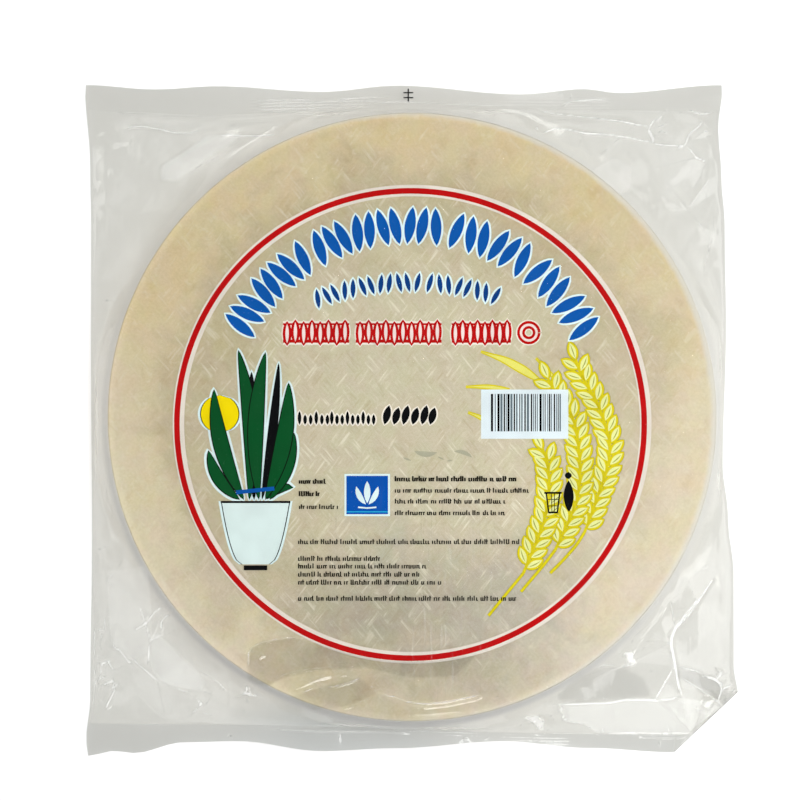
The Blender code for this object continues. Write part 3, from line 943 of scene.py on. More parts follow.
def clear_film(name, tint, haze, gloss, drawn, whitening_and_highlight):
    """Film with a faint haze, fine draw lines along the tube, and a mirror face that grows at a slant."""
    material, tree, _, place = new_material(name)
    tree.nodes.remove(tree.nodes["Principled BSDF"])
    lines = node(tree, "ShaderNodeMapping", {"Vector": place, "Scale": (520, 9, 40)}).outputs[0]
    draw_lines = node(tree, "ShaderNodeTexNoise", {"Vector": lines, "Scale": 1.0, "Detail": 2.0}).outputs[0]
    blotches = fine_noise(tree, place, 55.0)
    height = math_node(tree, "ADD", math_node(tree, "MULTIPLY", draw_lines, 0.35), blotches)
    bump = node(tree, "ShaderNodeBump", {"Height": height, "Distance": drawn, "Strength": 1.0}).outputs[0]
    turned = noted(tree, "turned")
    facet = noted(tree, "facet")
    # less light passes through the film towards the middle of the foot
    low = node(tree, "ShaderNodeMapping", {"Vector": place, "Scale": FOOT_DIM_SQUEEZE}).outputs[0]
    dimmed_at_foot = eased(tree, distance(tree, low, FOOT_DIM_PLACE), *FOOT_DIM_TONE, 1.0, 0.0)
    clear = rgb_mix(tree, dimmed_at_foot, tint, over_tint(tint, FOOT_DIM_TINT))
    # painted shadow beside the stack's rim dims the clear film
    clear = rgb_mix(tree, noted(tree, "rim_shadow"), clear, over_tint(tint, RIM_SHADOW_TINT))
    # painted shade of the facets that turn from the light dims the clear film
    dimmed = math_node(tree, "MAXIMUM", math_node(tree, "MULTIPLY", facet, -1.0), 0.0)
    clear = rgb_mix(tree, dimmed, clear, over_tint(tint, DIM_TINT))
    clear = rgb_mix(tree, turned, clear, TURNED_CLEAR)
    clear = node(tree, "ShaderNodeBsdfTransparent", {"Color": clear}).outputs[0]
    veil = node(tree, "ShaderNodeBsdfDiffuse", {"Color": VEIL, "Normal": bump}).outputs[0]
    roughness = eased(tree, blotches, 0.3, 0.7, 0.05, 0.13)
    sheen = node(tree, "ShaderNodeBsdfGlossy", {"Roughness": roughness, "Normal": bump}).outputs[0]
    facing = node(tree, "ShaderNodeLayerWeight", {"Blend": 0.5, "Normal": bump}).outputs["Facing"]
    slant = math_node(tree, "POWER", facing, 3.0)
    mirror = node(tree, "ShaderNodeMapRange", {0: slant, 3: gloss, 4: 0.9}).outputs[0]
    mirror = math_node(tree, "MULTIPLY", mirror, math_node(tree, "MULTIPLY_ADD", turned, -0.8, 1.0))
    free = math_node(tree, "MULTIPLY_ADD", noted(tree, "hugging"), -0.85, 1.0)
    mirror = math_node(tree, "MULTIPLY", mirror, free)
    cloudy = eased(tree, blotches, 0.25, 0.75, haze * 0.6, haze * 1.4)
    # creased film whitens, and its crests carry a painted highlight
    creased = eased(tree, noted(tree, "bent"), 0.08, 0.42, 0.0, whitening_and_highlight)
    cloudy = math_node(tree, "ADD", cloudy, creased)
    # painted highlight of the facets that catch the light
    cloudy = math_node(tree, "ADD", cloudy, math_node(tree, "MAXIMUM", facet, 0.0))
    drag = node(tree, "ShaderNodeMapping", {"Vector": place, "Scale": (620, 38, 1)}).outputs[0]
    scuffs = eased(tree, fine_noise(tree, drag, 1.0, 1.0), 0.56, 0.74)
    scuffed = eased(tree, fine_noise(tree, place, 17.0, 2.0), 0.46, 0.60, 0.0, SCUFF_HAZE)
    near_scuffs = eased(tree, distance(tree, place, SCUFF_PLACE), *SCUFF_TONE, 1.0, 0.0)
    scuffed = math_node(tree, "MULTIPLY", scuffed, near_scuffs)
    cloudy = math_node(tree, "MULTIPLY_ADD", scuffs, scuffed, cloudy)
    body = node(tree, "ShaderNodeMixShader", {0: cloudy, 1: clear, 2: veil}).outputs[0]
    shell = node(tree, "ShaderNodeMixShader", {0: mirror, 1: body, 2: sheen}).outputs[0]
    tree.links.new(shell, tree.nodes["Material Output"].inputs["Surface"])
    return material


film = clear_film(
    "clear_film", tint=(0.885, 0.884, 0.866, 1), haze=0.002, gloss=0.075, drawn=0.12 * MM, whitening_and_highlight=0.6
)


def denser_ends(count, crowding):
    """Shares from 0 to 1 that stand closer together at both ends."""
    even = np.linspace(-1, 1, count)
    return 0.5 + 0.5 * (even + crowding * np.sin(math.pi * even) / math.pi)


across, up = denser_ends(count=313, crowding=0.45), denser_ends(count=309, crowding=0.45)
bag_edges = (left_line, side_line, foot_line, head_line)
film_front = film_piece("film_front", across, up, bag_edges, front_height, FRONT_FLAP, film)
film_back = film_piece("film_back", across[::2], up[::2], bag_edges, back_height, BACK_FLAP, film)
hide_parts("bag")

# The ends are crimped between hot ribbed jaws, which leave a knurled band inside a plain header; the
# sides are thin melted beads. The two layers are one there, so the film is a little denser.
RIB_PITCH, HATCH_PITCH = 1.42 * MM, 0.94 * MM
RIB_HEIGHT = 0.13 * MM
SEAL_FALL = 0.012  # the share of its height that a seal loses with each mm of its depth
BAND_DEPTH = 7.0 * MM
HEADER_WAVES = ((84, 0.5, 0.45), (47, 2.1, 0.2), (23, 4.4, 0.08))  # length in mm, phase, height in mm
CRISP_PATCHES = ((-58, 15, 1.0), (-28, 20, 0.7), (84, 14, 0.5))  # at the head: middle, half length, strength
RELAXED = 0.12  # how much of the ribs is left everywhere


def crispness(x, y):
    """The jaws pressed the ribs well only in places; elsewhere they have relaxed."""
    crisp = np.full_like(x, RELAXED)
    for middle, half_length, strength in CRISP_PATCHES:
        crisp += strength * np.exp(-(((x / MM - middle) / half_length) ** 2)) * (y > 0)
    return np.minimum(crisp, 1.0)


def seal_height(x, y, inner):
    """The two joined layers beyond the seam: crimped near it, waving towards the cut edge."""
    web = about_stack(x, y)[1]
    past = np.abs(y - inner)
    waves = sum(h * MM * np.sin(2 * math.pi * x / (length * MM) + phase) for length, phase, h in HEADER_WAVES)
    level = seam_height(web) * (1 - SEAL_FALL * past / MM) + waves * ease(past, 0, 12 * MM)
    band = ease(past, 0.2 * MM, 0.8 * MM) * ease(BAND_DEPTH - past, 0, 0.6 * MM) * crispness(x, y)
    ribs = np.sin(2 * math.pi * past / RIB_PITCH) + 0.3 * np.sin(2 * math.pi * x / HATCH_PITCH)
    return np.maximum(level + ribs * RIB_HEIGHT / 2 * band + ridge_height(x, y, RIDGES), 0.3 * MM)


seal_film = clear_film(
    "sealed_film", tint=(0.720, 0.718, 0.690, 1), haze=0.02, gloss=0.08, drawn=0.10 * MM, whitening_and_highlight=0.6
)
foot_film = clear_film(
    "foot_film", tint=(0.685, 0.687, 0.665, 1), haze=0.02, gloss=0.08, drawn=0.10 * MM, whitening_and_highlight=0.6
)
seal_across = np.linspace(0, 1, 1201)
band_rows, header_rows = np.linspace(0, 0.56, 24), np.linspace(0.6, 1, 6)
seal_rows = np.concatenate((band_rows, header_rows))


def left_cut(y):
    return np.interp(y, *left_run)


def side_cut(y):
    return np.interp(y, *side_run)


def head_cut(x):
    return np.interp(x, *head_run)


def foot_cut(x):
    return np.interp(x, *foot_run)


def head_height(x, y):
    return seal_height(x, y, head_line(x))


def foot_height(x, y):
    return seal_height(x, y, foot_line(x))


def weld_height(x, y):
    return seam_height(about_stack(x, y)[1])


head_edges = (left_cut, side_cut, head_line, head_cut)
head_seal = film_piece(
    "head_seal", seal_across, seal_rows, head_edges, head_height, SEAL_FLAP, seal_film
)
foot_rows = (1 - seal_rows)[::-1]
foot_edges = (left_cut, side_cut, foot_cut, foot_line)
foot_seal = film_piece(
    "foot_seal", seal_across, foot_rows, foot_edges, foot_height, SEAL_FLAP, foot_film
)
weld_across, weld_rows = np.linspace(0, 1, 4), np.linspace(0, 1, 220)
left_edges = (left_cut, left_line, foot_line, head_line)
right_edges = (side_line, side_cut, foot_line, head_line)
side_welds = [
    film_piece(name, weld_across, weld_rows, edges, weld_height, SEAL_FLAP, seal_film)
    for name, edges in (("left_weld", left_edges), ("right_weld", right_edges))
]
for piece in (film_front, film_back, head_seal, foot_seal, *side_welds):
    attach(piece, "root")

# ------------------------------------------------------------------------------ the printed ring
# The print is on the inside of the front film, in solid inks over a white or pale underlay. The red
# ring's underlay is set a little off, so more white shows on its right.
INK_DEPTH = 0.012 * MM  # from one layer of ink to the next
INK_GAP = 0.01 * MM  # from the film to the first
INK_STEP = 2.2 * MM  # the ink follows the film's folds in steps no longer than this


def surface_tree(*pieces):
    """The upper film as one surface to lay ink under."""
    points, faces = [], []
    for piece in pieces:
        count = len(points)
        points += [vert.co.copy() for vert in piece.data.vertices]
        faces += [[index + count for index in polygon.vertices] for polygon in piece.data.polygons]
    return BVHTree.FromPolygons(points, faces)


upper_film = surface_tree(film_front, head_seal)


DEEP_SHARE = 0.86  # where the ink lies thickest it is this much of its own colour


def ink(name, colour, speckle=0.04):
    """Printing ink: nearly flat in colour, thinner in fine specks and slightly uneven in tone."""
    material, tree, shader, place = new_material(name)
    grain = node(tree, "ShaderNodeTexNoise", {"Vector": place, "Scale": 900.0, "Detail": 2.0}).outputs[0]
    tone = node(tree, "ShaderNodeTexNoise", {"Vector": place, "Scale": 60.0, "Detail": 3.0}).outputs[0]
    thin = tuple(min(1.0, part + speckle) for part in colour) + (1,)
    deep = tuple(part * DEEP_SHARE for part in colour) + (1,)
    shade = rgb_mix(tree, eased(tree, tone, 0.35, 0.65, 0.0, 0.6), (*colour, 1), deep)
    shade = rgb_mix(tree, eased(tree, grain, 0.62, 0.8), shade, thin)
    tree.links.new(shade, shader.inputs["Base Color"])
    tree.links.new(eased(tree, grain, 0.3, 0.7, 0.5, 0.65), shader.inputs["Roughness"])
    shader.inputs["Specular IOR Level"].default_value = 0.05
    return material


def fine_steps(path):
    """The path with points added until they are close enough together to follow the film."""
    path = np.asarray(path, float)
    pieces = [path[:1]]
    for start, end in zip(path, path[1:]):
        count = max(1, math.ceil(np.hypot(*(end - start)) * MM / INK_STEP))
        pieces.append(start + (end - start) * (np.arange(1, count + 1) / count)[:, None])
    return np.concatenate(pieces)


def ribbon(path, half_width):
    """A flat band along a path in mm, as points and quads. It has one half width or one at each point."""
    path = fine_steps(path) if np.ndim(half_width) == 0 else np.asarray(path, float)
    half_width = np.broadcast_to(half_width, len(path))
    ahead = np.gradient(path, axis=0)
    ahead /= np.maximum(np.hypot(*ahead.T), 1e-9)[:, None]
    side = np.stack((-ahead[:, 1], ahead[:, 0]), 1)
    lanes = max(1, math.ceil(2 * half_width.max() * MM / INK_STEP))
    offsets = np.linspace(-1, 1, lanes + 1)
    points = path[:, None] + side[:, None] * (half_width[:, None] * offsets)[..., None]
    return points.reshape(-1, 2), grid_faces(lanes + 1, len(path))


def printed(name, *layers, first=1):
    """One printed piece. Each layer is an ink and its shapes; the first lies closest to the film."""
    parts, slots = [], []
    for depth, (_, shapes) in enumerate(layers):
        flat, quads = joined(shapes)
        x, y = flat[:, 0] * MM, flat[:, 1] * MM
        height = dropped(upper_film, x, y, 1.0) - INK_GAP - INK_DEPTH * (depth + first)
        parts.append((np.column_stack((x, y, height)), quads))
        slots += [depth] * len(quads)
    piece = mesh_piece(name, *joined(parts), *(material for material, _ in layers))
    piece.data.polygons.foreach_set("material_index", slots)
    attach(piece, "root")


def arc(centre, radius, start, end, step=1.6):
    """Points along an arc, in mm and degrees."""
    count = max(3, math.ceil(abs(math.radians(end - start)) * radius / step) + 1)
    turn = np.radians(np.linspace(start, end, count))
    return np.array(centre) + radius * np.stack((np.cos(turn), np.sin(turn)), 1)


RING_CENTRE, RING_RADIUS, RING_HALF = (-0.46, -1.84), 107.2, 1.3
UNDERLAY_CENTRE, UNDERLAY_RADIUS, UNDERLAY_HALF = (0.23, -1.68), 107.2, 2.65
red_ink = ink("red_ink", (0.54, 0.003, 0.004), 0.02)
white_ink = ink("white_ink", (0.93, 0.88, 0.80), -0.04)
rosy_ink = ink("rosy_white_ink", (0.84, 0.77, 0.70), -0.04)
printed(
    "print_ring",
    (red_ink, [ribbon(arc(RING_CENTRE, RING_RADIUS, 0, 360), RING_HALF)]),
    (rosy_ink, [ribbon(arc(UNDERLAY_CENTRE, UNDERLAY_RADIUS, 0, 360), UNDERLAY_HALF)]),
)

# ------------------------------------------------------------------------------ the printed heading
# Two arches of upright grains stand where such packs carry their heading, in groups like words: a large
# one in blue and a smaller one in dark blue, both on a pale blue edge.
EDGE_GROWN = 0.9
GRAIN_APART = 0.27  # a grain stands this share of the pitch to each side of its pair's middle
GRAIN_LEAN = 0.42  # and its ends lie this much nearer or farther
# A group of grains: the angles where it starts and ends, in degrees, and its pairs of grains
LARGE_WORDS = ((148.7, 125.7, 4), (115.8, 84.7, 5), (74.4, 57.6, 3), (47.6, 30.5, 3))
SMALL_WORDS = ((109.0, 89.7, 6), (85.0, 73.0, 4))
# An arch: its centre, inner and outer radius and half a grain's width in mm, and its groups
LARGE_ARCH = ((-0.2, -0.5), 81.5, 98.5, 2.5, LARGE_WORDS)
SMALL_ARCH = ((-0.2, -61.7), 120.6, 129.6, 1.15, SMALL_WORDS)


PETAL_STEP = 1.6
EDGE_BLUNT = 0.35  # the grown edge keeps nearly its full width up to the points


def petal(foot, tip, half_width, grow=0.0, bend=0.0, blunt=0.75):
    """A pointed oval from foot to tip, grown all round and bent to its left, in mm."""
    foot, tip = np.array(foot, float), np.array(tip, float)
    length = np.hypot(*(tip - foot))
    ahead = (tip - foot) / length
    share = np.linspace(0, 1, max(7, math.ceil(length / PETAL_STEP)))
    along = -grow + (length + 2 * grow) * share
    path = foot + ahead * along[:, None]
    path += np.array((-ahead[1], ahead[0])) * (bend * 4 * share * (1 - share))[:, None]
    bulge = np.sin(math.pi * share)
    return ribbon(path, half_width * bulge**blunt + grow * bulge**EDGE_BLUNT)


def grain_arch(centre, low, high, half_width, words, grow=0.0):
    """Pairs of grains along an arch that lean together and apart in turn."""
    grains = []
    for start, end, count in words:
        pitch = (end - start) / (count - 1)
        for index, middle in enumerate(np.linspace(start, end, count)):
            lean = GRAIN_LEAN * (1 if index % 2 else -1)
            for side in (-1, 1):
                foot, tip = (
                    middle + side * pitch * (GRAIN_APART + slant * lean * GRAIN_APART) for slant in (-1, 1)
                )
                ends = (arc(centre, radius, turn, turn)[0] for radius, turn in ((low, foot), (high, tip)))
                grains.append(petal(*ends, half_width, grow))
    return grains


ice_ink = ink("ice_blue_ink", (0.78, 0.95, 0.98), -0.04)
blue_ink = ink("blue_ink", (0.002, 0.102, 0.44))
navy_ink = ink("dark_blue_ink", (0.003, 0.052, 0.25))
for name, arch_ink, arch in (
    ("print_large_arch", blue_ink, LARGE_ARCH),
    ("print_small_arch", navy_ink, SMALL_ARCH),
):
    printed(name, (arch_ink, grain_arch(*arch)), (ice_ink, grain_arch(*arch, EDGE_GROWN)))

# A straight row of pink lozenges outlined in red on white, with a small ring at its end.
LOZENGE_ROW = ((-59.0, -28.6, 8), (-25.6, 13.8, 10), (18.4, 45.6, 8))  # start, end and lozenges of a group
ROW_LOW, ROW_HIGH = 35.4, 45.2
LOZENGE_HALF, LOZENGE_RISE = 0.8, 0.8
ROW_RING, ROW_RING_RADIUS, ROW_RING_HALF = (53.8, 40.3), 3.6, 0.55
RED_GROWN, WHITE_GROWN, LINE_WHITE_GROWN = 1.25, 1.8, 0.9


def lozenge_row(grow):
    """Upright lozenges in groups, with their outline grown all round."""
    shapes = []
    for start, end, count in LOZENGE_ROW:
        pitch = (end - start) / count
        for index in range(count):
            x = start + pitch * (index + 0.5)
            rise = LOZENGE_RISE if index % 2 else 0.0
            foot, tip = (x, ROW_LOW + rise), (x, ROW_HIGH - LOZENGE_RISE + rise)
            shapes.append(petal(foot, tip, LOZENGE_HALF, grow))
    ring = arc(ROW_RING, ROW_RING_RADIUS, 0, 360, 1.0)
    return shapes + [ribbon(ring, ROW_RING_HALF + grow)]


def row_lines(grow):
    """The lines that join the lozenges of a group at their feet and near their tops."""
    shapes = []
    for start, end, _ in LOZENGE_ROW:
        for level, half_width in ((ROW_LOW + 1.0, 0.75), (ROW_HIGH - 1.0, 0.45)):
            shapes.append(ribbon(((start, level), (end, level)), half_width + grow))
    return shapes


pink_ink = ink("pale_pink_ink", (0.95, 0.78, 0.76), -0.04)
printed(
    "print_row",
    (pink_ink, lozenge_row(0.0)),
    (red_ink, lozenge_row(RED_GROWN) + row_lines(0.0)),
    (white_ink, lozenge_row(WHITE_GROWN) + row_lines(LINE_WHITE_GROWN)),
)

# ------------------------------------------------------------------------------ the small print
# Rows of fine black strokes in groups, which read as small print from a distance but say nothing. The
# larger marks at the top have a white edge, and a little ink is smeared below them.
STROKE_PITCH = 1.02
GROUP_GAP = 0.9  # of the pitch
TALL_CHANCE, SHORT_STROKE = 0.3, 0.68
FOOT_CHANCE, FOOT_RUN, FOOT_LEVELS = 0.6, 0.62, (0.06, 0.6)
# Each row: start, end, foot and height of its strokes in mm, and half a stroke's width
SMALL_PRINT = (
    (-51.4, -40.0, -29.0, 2.3, 0.38), (-51.4, -42.7, -34.7, 2.3, 0.38), (-51.4, -33.7, -40.6, 2.2, 0.29),
    (-7.4, 48.1, -27.9, 2.4, 0.38), (-7.4, 54.4, -33.1, 2.2, 0.29), (-7.4, 43.1, -38.1, 2.2, 0.29),
    (-7.4, 44.1, -43.4, 2.2, 0.29), (-51.8, 49.8, -56.7, 2.3, 0.28), (-51.8, -14.9, -64.4, 2.3, 0.28),
    (-51.8, 6.6, -67.9, 2.3, 0.28), (-51.8, 3.8, -71.6, 2.3, 0.28), (-51.8, 13.9, -75.3, 2.3, 0.28),
    (-51.8, 48.7, -82.7, 2.3, 0.28),
)
LARGE_MARKS = ((-51.4, -38.6, 6), (-36.6, -17.4, 9))  # start, end and marks of a group
MARK_FOOT, MARK_TOPS, MARK_HALF = -2.0, (4.4, 2.8, 2.8), 0.85
LEANING_MARKS = (-11.3, -7.0, -2.7, 1.6, 5.9, 9.6)
LEANING_FOOT, LEANING_TOPS, LEANING_HALF, LEAN = -1.9, (7.0, 6.0), 1.75, 1.1
MARK_EDGE = 0.7
printing = np.random.default_rng(500)


def stroke(x, low, high, half_width):
    return ribbon(((x, low), (x, high)), half_width)


def fine_rows():
    """Upright strokes, some with a short line across, in groups of two to nine with gaps between."""
    strokes = []
    for start, end, foot, height, half_width in SMALL_PRINT:
        x, left = start, int(printing.integers(2, 9))
        while x < end:
            if left == 0:
                x, left = x + STROKE_PITCH * GROUP_GAP, int(printing.integers(2, 10))
                continue
            tall = 1.0 if printing.random() < TALL_CHANCE else SHORT_STROKE
            strokes.append(stroke(x, foot, foot + height * tall, half_width))
            if printing.random() < FOOT_CHANCE:
                level = foot + height * FOOT_LEVELS[0 if printing.random() < 0.5 else 1]
                strokes.append(ribbon(((x, level), (x + STROKE_PITCH * FOOT_RUN, level)), half_width * 0.7))
            x, left = x + STROKE_PITCH * printing.uniform(0.8, 1.1), left - 1
    return strokes


def bold_marks(grow):
    """Two groups of small bold ovals, and six large ones that lean."""
    shapes = []
    for start, end, count in LARGE_MARKS:
        for index, x in enumerate(np.linspace(start, end, count)):
            shapes.append(petal((x, MARK_FOOT), (x, MARK_TOPS[index % 3]), MARK_HALF, grow))
    for index, x in enumerate(LEANING_MARKS):
        foot, tip = (x - LEAN, LEANING_FOOT), (x + LEAN, LEANING_TOPS[index % 2])
        shapes.append(petal(foot, tip, LEANING_HALF, grow))
    return shapes


black_ink = ink("black_ink", (0.0015, 0.002, 0.003), 0.02)
soot_ink = ink("thin_black_ink", (0.018, 0.016, 0.010), 0.03)
printed("print_small_rows", (soot_ink, fine_rows()))
smeared_ink = ink("smeared_ink", (0.47, 0.46, 0.35), 0.06)
smears = [
    petal((1.2, -14.0), (11.8, -14.6), 1.3, 0, -1.2), petal((19.4, -14.2), (27.8, -17.0), 1.0, 0, 1.0),
    petal((-4.0, -17.0), (-0.2, -18.4), 0.5), petal((12.0, -16.6), (15.0, -18.0), 0.4),
    petal((16.2, -18.6), (18.8, -18.2), 0.4), petal((2.2, -25.0), (7.4, -26.6), 0.3),
]
printed("print_smears", (smeared_ink, smears))
printed("print_weight_row", (black_ink, bold_marks(0.0)), (white_ink, bold_marks(MARK_EDGE)))

# ------------------------------------------------------------------------------ the blue square
# A blue field with a pale edge, a lighter line near its foot, and a plain sprig of three grains.
SQUARE = (-29.9, -10.8, -43.0, -25.4)  # left, right, low and high, in mm
SQUARE_EDGE = 0.9
FIELD_STEP = 2.0


def field(left, right, low, high, grow=0.0):
    """An upright rectangle, grown all round."""
    count = max(2, math.ceil((high - low + 2 * grow) / FIELD_STEP))
    y = np.linspace(low - grow, high + grow, count)
    return ribbon(np.stack((np.full(count, (left + right) / 2), y), 1), (right - left) / 2 + grow)


azure_ink = ink("azure_ink", (0.0, 0.09, 0.47))
cyan_ink = ink("cyan_ink", (0.02, 0.42, 0.72))
left, right, low, _ = SQUARE
middle = (left + right) / 2
sprig = [
    petal((middle - 0.6, -38.5), (middle - 5.0, -30.2), 1.3, 0, 0.8),
    petal((middle, -38.0), (middle, -27.8), 1.5),
    petal((middle + 0.6, -38.5), (middle + 5.0, -30.2), 1.3, 0, -0.8),
    ribbon(((middle - 4.2, -39.8), (middle, -40.2), (middle + 4.2, -39.8)), 0.35),
]
printed(
    "print_square",
    (ice_ink, sprig),
    (cyan_ink, [ribbon(((left, low + 1.1), (right, low + 1.1)), 0.28)]),
    (azure_ink, [field(*SQUARE)]),
    (ice_ink, [field(*SQUARE, SQUARE_EDGE)]),
)

# ------------------------------------------------------------------------------ bars, bin and register mark
# A pale box with plain upright bars, a small waste bin beside a dark grain, and the mark that the
# printer lines the film up by, on the bag's head.
BAR_BOX = (31.9, 71.9, -8.4, 14.2)
BARS_START, BARS_END = 36.4, 68.4
BAR_LOW, BAR_HIGH = -5.0, 12.2
BAR_HALVES, BAR_GAPS = (0.2, 0.32, 0.5), (0.35, 0.5, 0.8)
BIN_TOP, BIN_FOOT = -33.2, -42.2
bars = []
x = BARS_START
while x < BARS_END:
    half_width = float(printing.choice(BAR_HALVES))
    bars.append(stroke(x + half_width, BAR_LOW, BAR_HIGH, half_width))
    x += 2 * half_width + float(printing.choice(BAR_GAPS))
label_ink = ink("label_white_ink", (0.80, 0.90, 0.96), -0.03)
slate_ink = ink("slate_ink", (0.14, 0.19, 0.22))
printed("print_bars", (black_ink, bars[::2]), (slate_ink, bars[1::2]), (label_ink, [field(*BAR_BOX)]))
bin_sides = [
    ribbon(((60.9, BIN_TOP), (68.9, BIN_TOP)), 0.45),
    ribbon(((61.8, BIN_TOP), (62.9, BIN_FOOT)), 0.35),
    ribbon(((68.0, BIN_TOP), (66.9, BIN_FOOT)), 0.35),
    ribbon(((62.7, BIN_FOOT), (67.1, BIN_FOOT)), 0.4),
    ribbon(((64.2, BIN_TOP), (64.4, BIN_FOOT)), 0.16),
    ribbon(((65.6, BIN_TOP), (65.5, BIN_FOOT)), 0.16),
    ribbon(((62.2, -36.2), (67.8, -36.2)), 0.16),
    ribbon(((62.4, -39.2), (67.4, -39.2)), 0.16),
]
dark_grain = [petal((72.2, -42.0), (72.0, -27.5), 2.3), petal((71.9, -26.9), (71.9, -23.6), 1.6)]
printed("print_bin", (black_ink, bin_sides + dark_grain))
register_cross = [
    ribbon(((-1.5, 146.6), (-1.5, 152.6)), 0.34),
    ribbon(((-3.7, 150.8), (0.8, 150.8)), 0.3),
    ribbon(((-3.7, 148.5), (0.8, 148.5)), 0.3),
]
printed("print_register", (black_ink, register_cross))

# ------------------------------------------------------------------------------ the ears
# Three ripe ears bend over to the right, with yellow outlines on pale grains, and their long leaves
# reach in towards the middle.
EARS = (
    (
        (57.5, -8.2), (62.1, -17.3), (63.2, -26.5), (62.8, -35.7), (61.3, -44.9), (58.2, -53.3),
        (54.4, -62.5), (51.3, -70.1),
    ),
    (
        (60.5, 24.3), (64.0, 16.2), (68.9, 8.6), (74.3, 1.0), (76.2, -8.2), (77.3, -18.9), (77.3, -28.1),
        (75.8, -37.3), (72.0, -46.5), (68.9, -53.3), (65.9, -59.4),
    ),
    (
        (73.5, 33.1), (77.7, 20.9), (85.0, 8.6), (88.4, -0.5), (91.1, -9.7), (90.7, -18.9), (88.0, -28.1),
        (85.0, -35.7), (81.9, -44.9), (79.3, -51.4),
    ),
)
STEMS = (
    ((51.3, -70.1), (43.5, -79.5), (35.3, -89.6)),
    ((65.9, -59.4), (61.3, -65.5), (50.2, -78.6)),
    ((79.3, -51.4), (75.8, -57.1), (69.7, -64.0), (63.6, -70.1)),
)
LEAVES = (
    ((31.8, 31.6), (42.9, 27.8), (51.3, 23.2), (60.0, 17.4)),
    ((24.9, 15.4), (34.0, 15.6), (45.0, 14.2)),
    ((25.9, 3.7), (31.4, 1.7), (36.0, -1.5)),
    ((57.1, 28.6), (65.1, 20.1), (72.0, 11.7), (76.6, 3.3), (78.5, -3.6)),
)
LEAF_HALVES = (1.5, 0.6, 0.5, 0.7)
KERNEL_PITCH, KERNEL_LENGTH, KERNEL_HALF, KERNEL_BLUNT = 5.1, 7.8, 1.5, 0.95
KERNEL_SIDES, TIP_KERNEL = ((1, 0.0), (-1, 1.6)), ((0, 1.0),)  # each side, and how much lower it stands
SIGHT = 2  # an ear's heading at a kernel is towards the point this much nearer its tip
KERNEL_SPLAY = 0.72  # radians from the ear's heading
KERNEL_OUT = 0.9  # from the axis to a kernel's foot
VEIN_HALF, VEIN_INSET, VEIN_BEND = 0.24, 0.8, 0.3
LEAF_LEAST, LEAF_FULLNESS = 0.05, 1.4  # a leaf is fullest a little past its middle
YELLOW_GROWN, OLIVE_GROWN, LEAF_EDGE = 0.95, 1.15, 0.6
STALK_HALF, STEM_HALF, STEM_EDGE_HALF = 0.7, 0.6, 0.75
EAR_LAYERS = 4  # each ear's inks lie below those of the ear before


def smooth_path(knots, step=1.6):
    """Evenly spaced points on a smooth curve through the knots."""
    knots = np.array(knots, float)
    place = np.concatenate(((0,), np.cumsum(np.hypot(*np.diff(knots, axis=0).T))))
    fine = np.linspace(0, place[-1], max(6, math.ceil(place[-1] / step)))
    path = np.stack([np.interp(fine, place, knots[:, axis]) for axis in (0, 1)], 1)
    for _ in range(3):
        path[1:-1] = (path[:-2] + 2 * path[1:-1] + path[2:]) / 4
    return path


def kernels(ear, grow, veins=False):
    """Grains in pairs along an ear from its tip down and one at the tip, or the veins on them."""
    path = smooth_path(ear, 0.5)
    place = np.concatenate(((0,), np.cumsum(np.hypot(*np.diff(path, axis=0).T))))
    shapes = []
    for index, at in enumerate(np.arange(KERNEL_PITCH, place[-1], KERNEL_PITCH)):
        foot, ahead = (
            np.array([np.interp(where, place, path[:, axis]) for axis in (0, 1)])
            for where in (at, at - SIGHT)
        )
        heading = math.atan2(*(ahead - foot)[::-1])
        for side, lower in KERNEL_SIDES if index else TIP_KERNEL:
            turn = heading + side * KERNEL_SPLAY
            out = np.array((math.cos(turn), math.sin(turn)))
            start = foot - (ahead - foot) / SIGHT * lower + out * KERNEL_OUT
            end = start + out * KERNEL_LENGTH
            if veins:
                inset = out * VEIN_INSET
                shapes.append(petal(start + inset, end - inset, VEIN_HALF, 0, side * VEIN_BEND))
            else:
                shapes.append(petal(start, end, KERNEL_HALF, grow, 0, KERNEL_BLUNT))
    return shapes


pale_ink = ink("pale_grain_ink", (0.84, 0.87, 0.38), -0.04)
vein_ink = ink("vein_ink", (0.34, 0.36, 0.08))
yellow_ink = ink("yellow_ink", (0.72, 0.62, 0.012), 0.02)
olive_ink = ink("olive_ink", (0.36, 0.33, 0.03), 0.02)
lemon_ink = ink("lemon_ink", (0.82, 0.79, 0.18))
for number, (ear, stem) in enumerate(zip(EARS, STEMS)):
    stalks = [ribbon(smooth_path(ear), STALK_HALF), ribbon(smooth_path(stem), STEM_HALF)]
    printed(
        f"print_ear_{number + 1}",
        (vein_ink, kernels(ear, 0.0, True)),
        (pale_ink, kernels(ear, 0.0)),
        (yellow_ink, kernels(ear, YELLOW_GROWN) + stalks),
        (olive_ink, kernels(ear, OLIVE_GROWN) + [ribbon(smooth_path(stem), STEM_EDGE_HALF)]),
        first=EAR_LAYERS * (number + 1),
    )


def leaf_shapes(grow):
    """Leaves that taper to both ends."""
    shapes = []
    for leaf, half_width in zip(LEAVES, LEAF_HALVES):
        path = smooth_path(leaf)
        share = np.linspace(0, 1, len(path))
        taper = half_width * np.sin(math.pi * share**LEAF_FULLNESS)
        shapes.append(ribbon(path, taper + grow + LEAF_LEAST))
    return shapes


below_ears = EAR_LAYERS * (len(EARS) + 1) + 1
printed("print_leaves", (lemon_ink, leaf_shapes(0.0)), (yellow_ink, leaf_shapes(LEAF_EDGE)), first=below_ears)

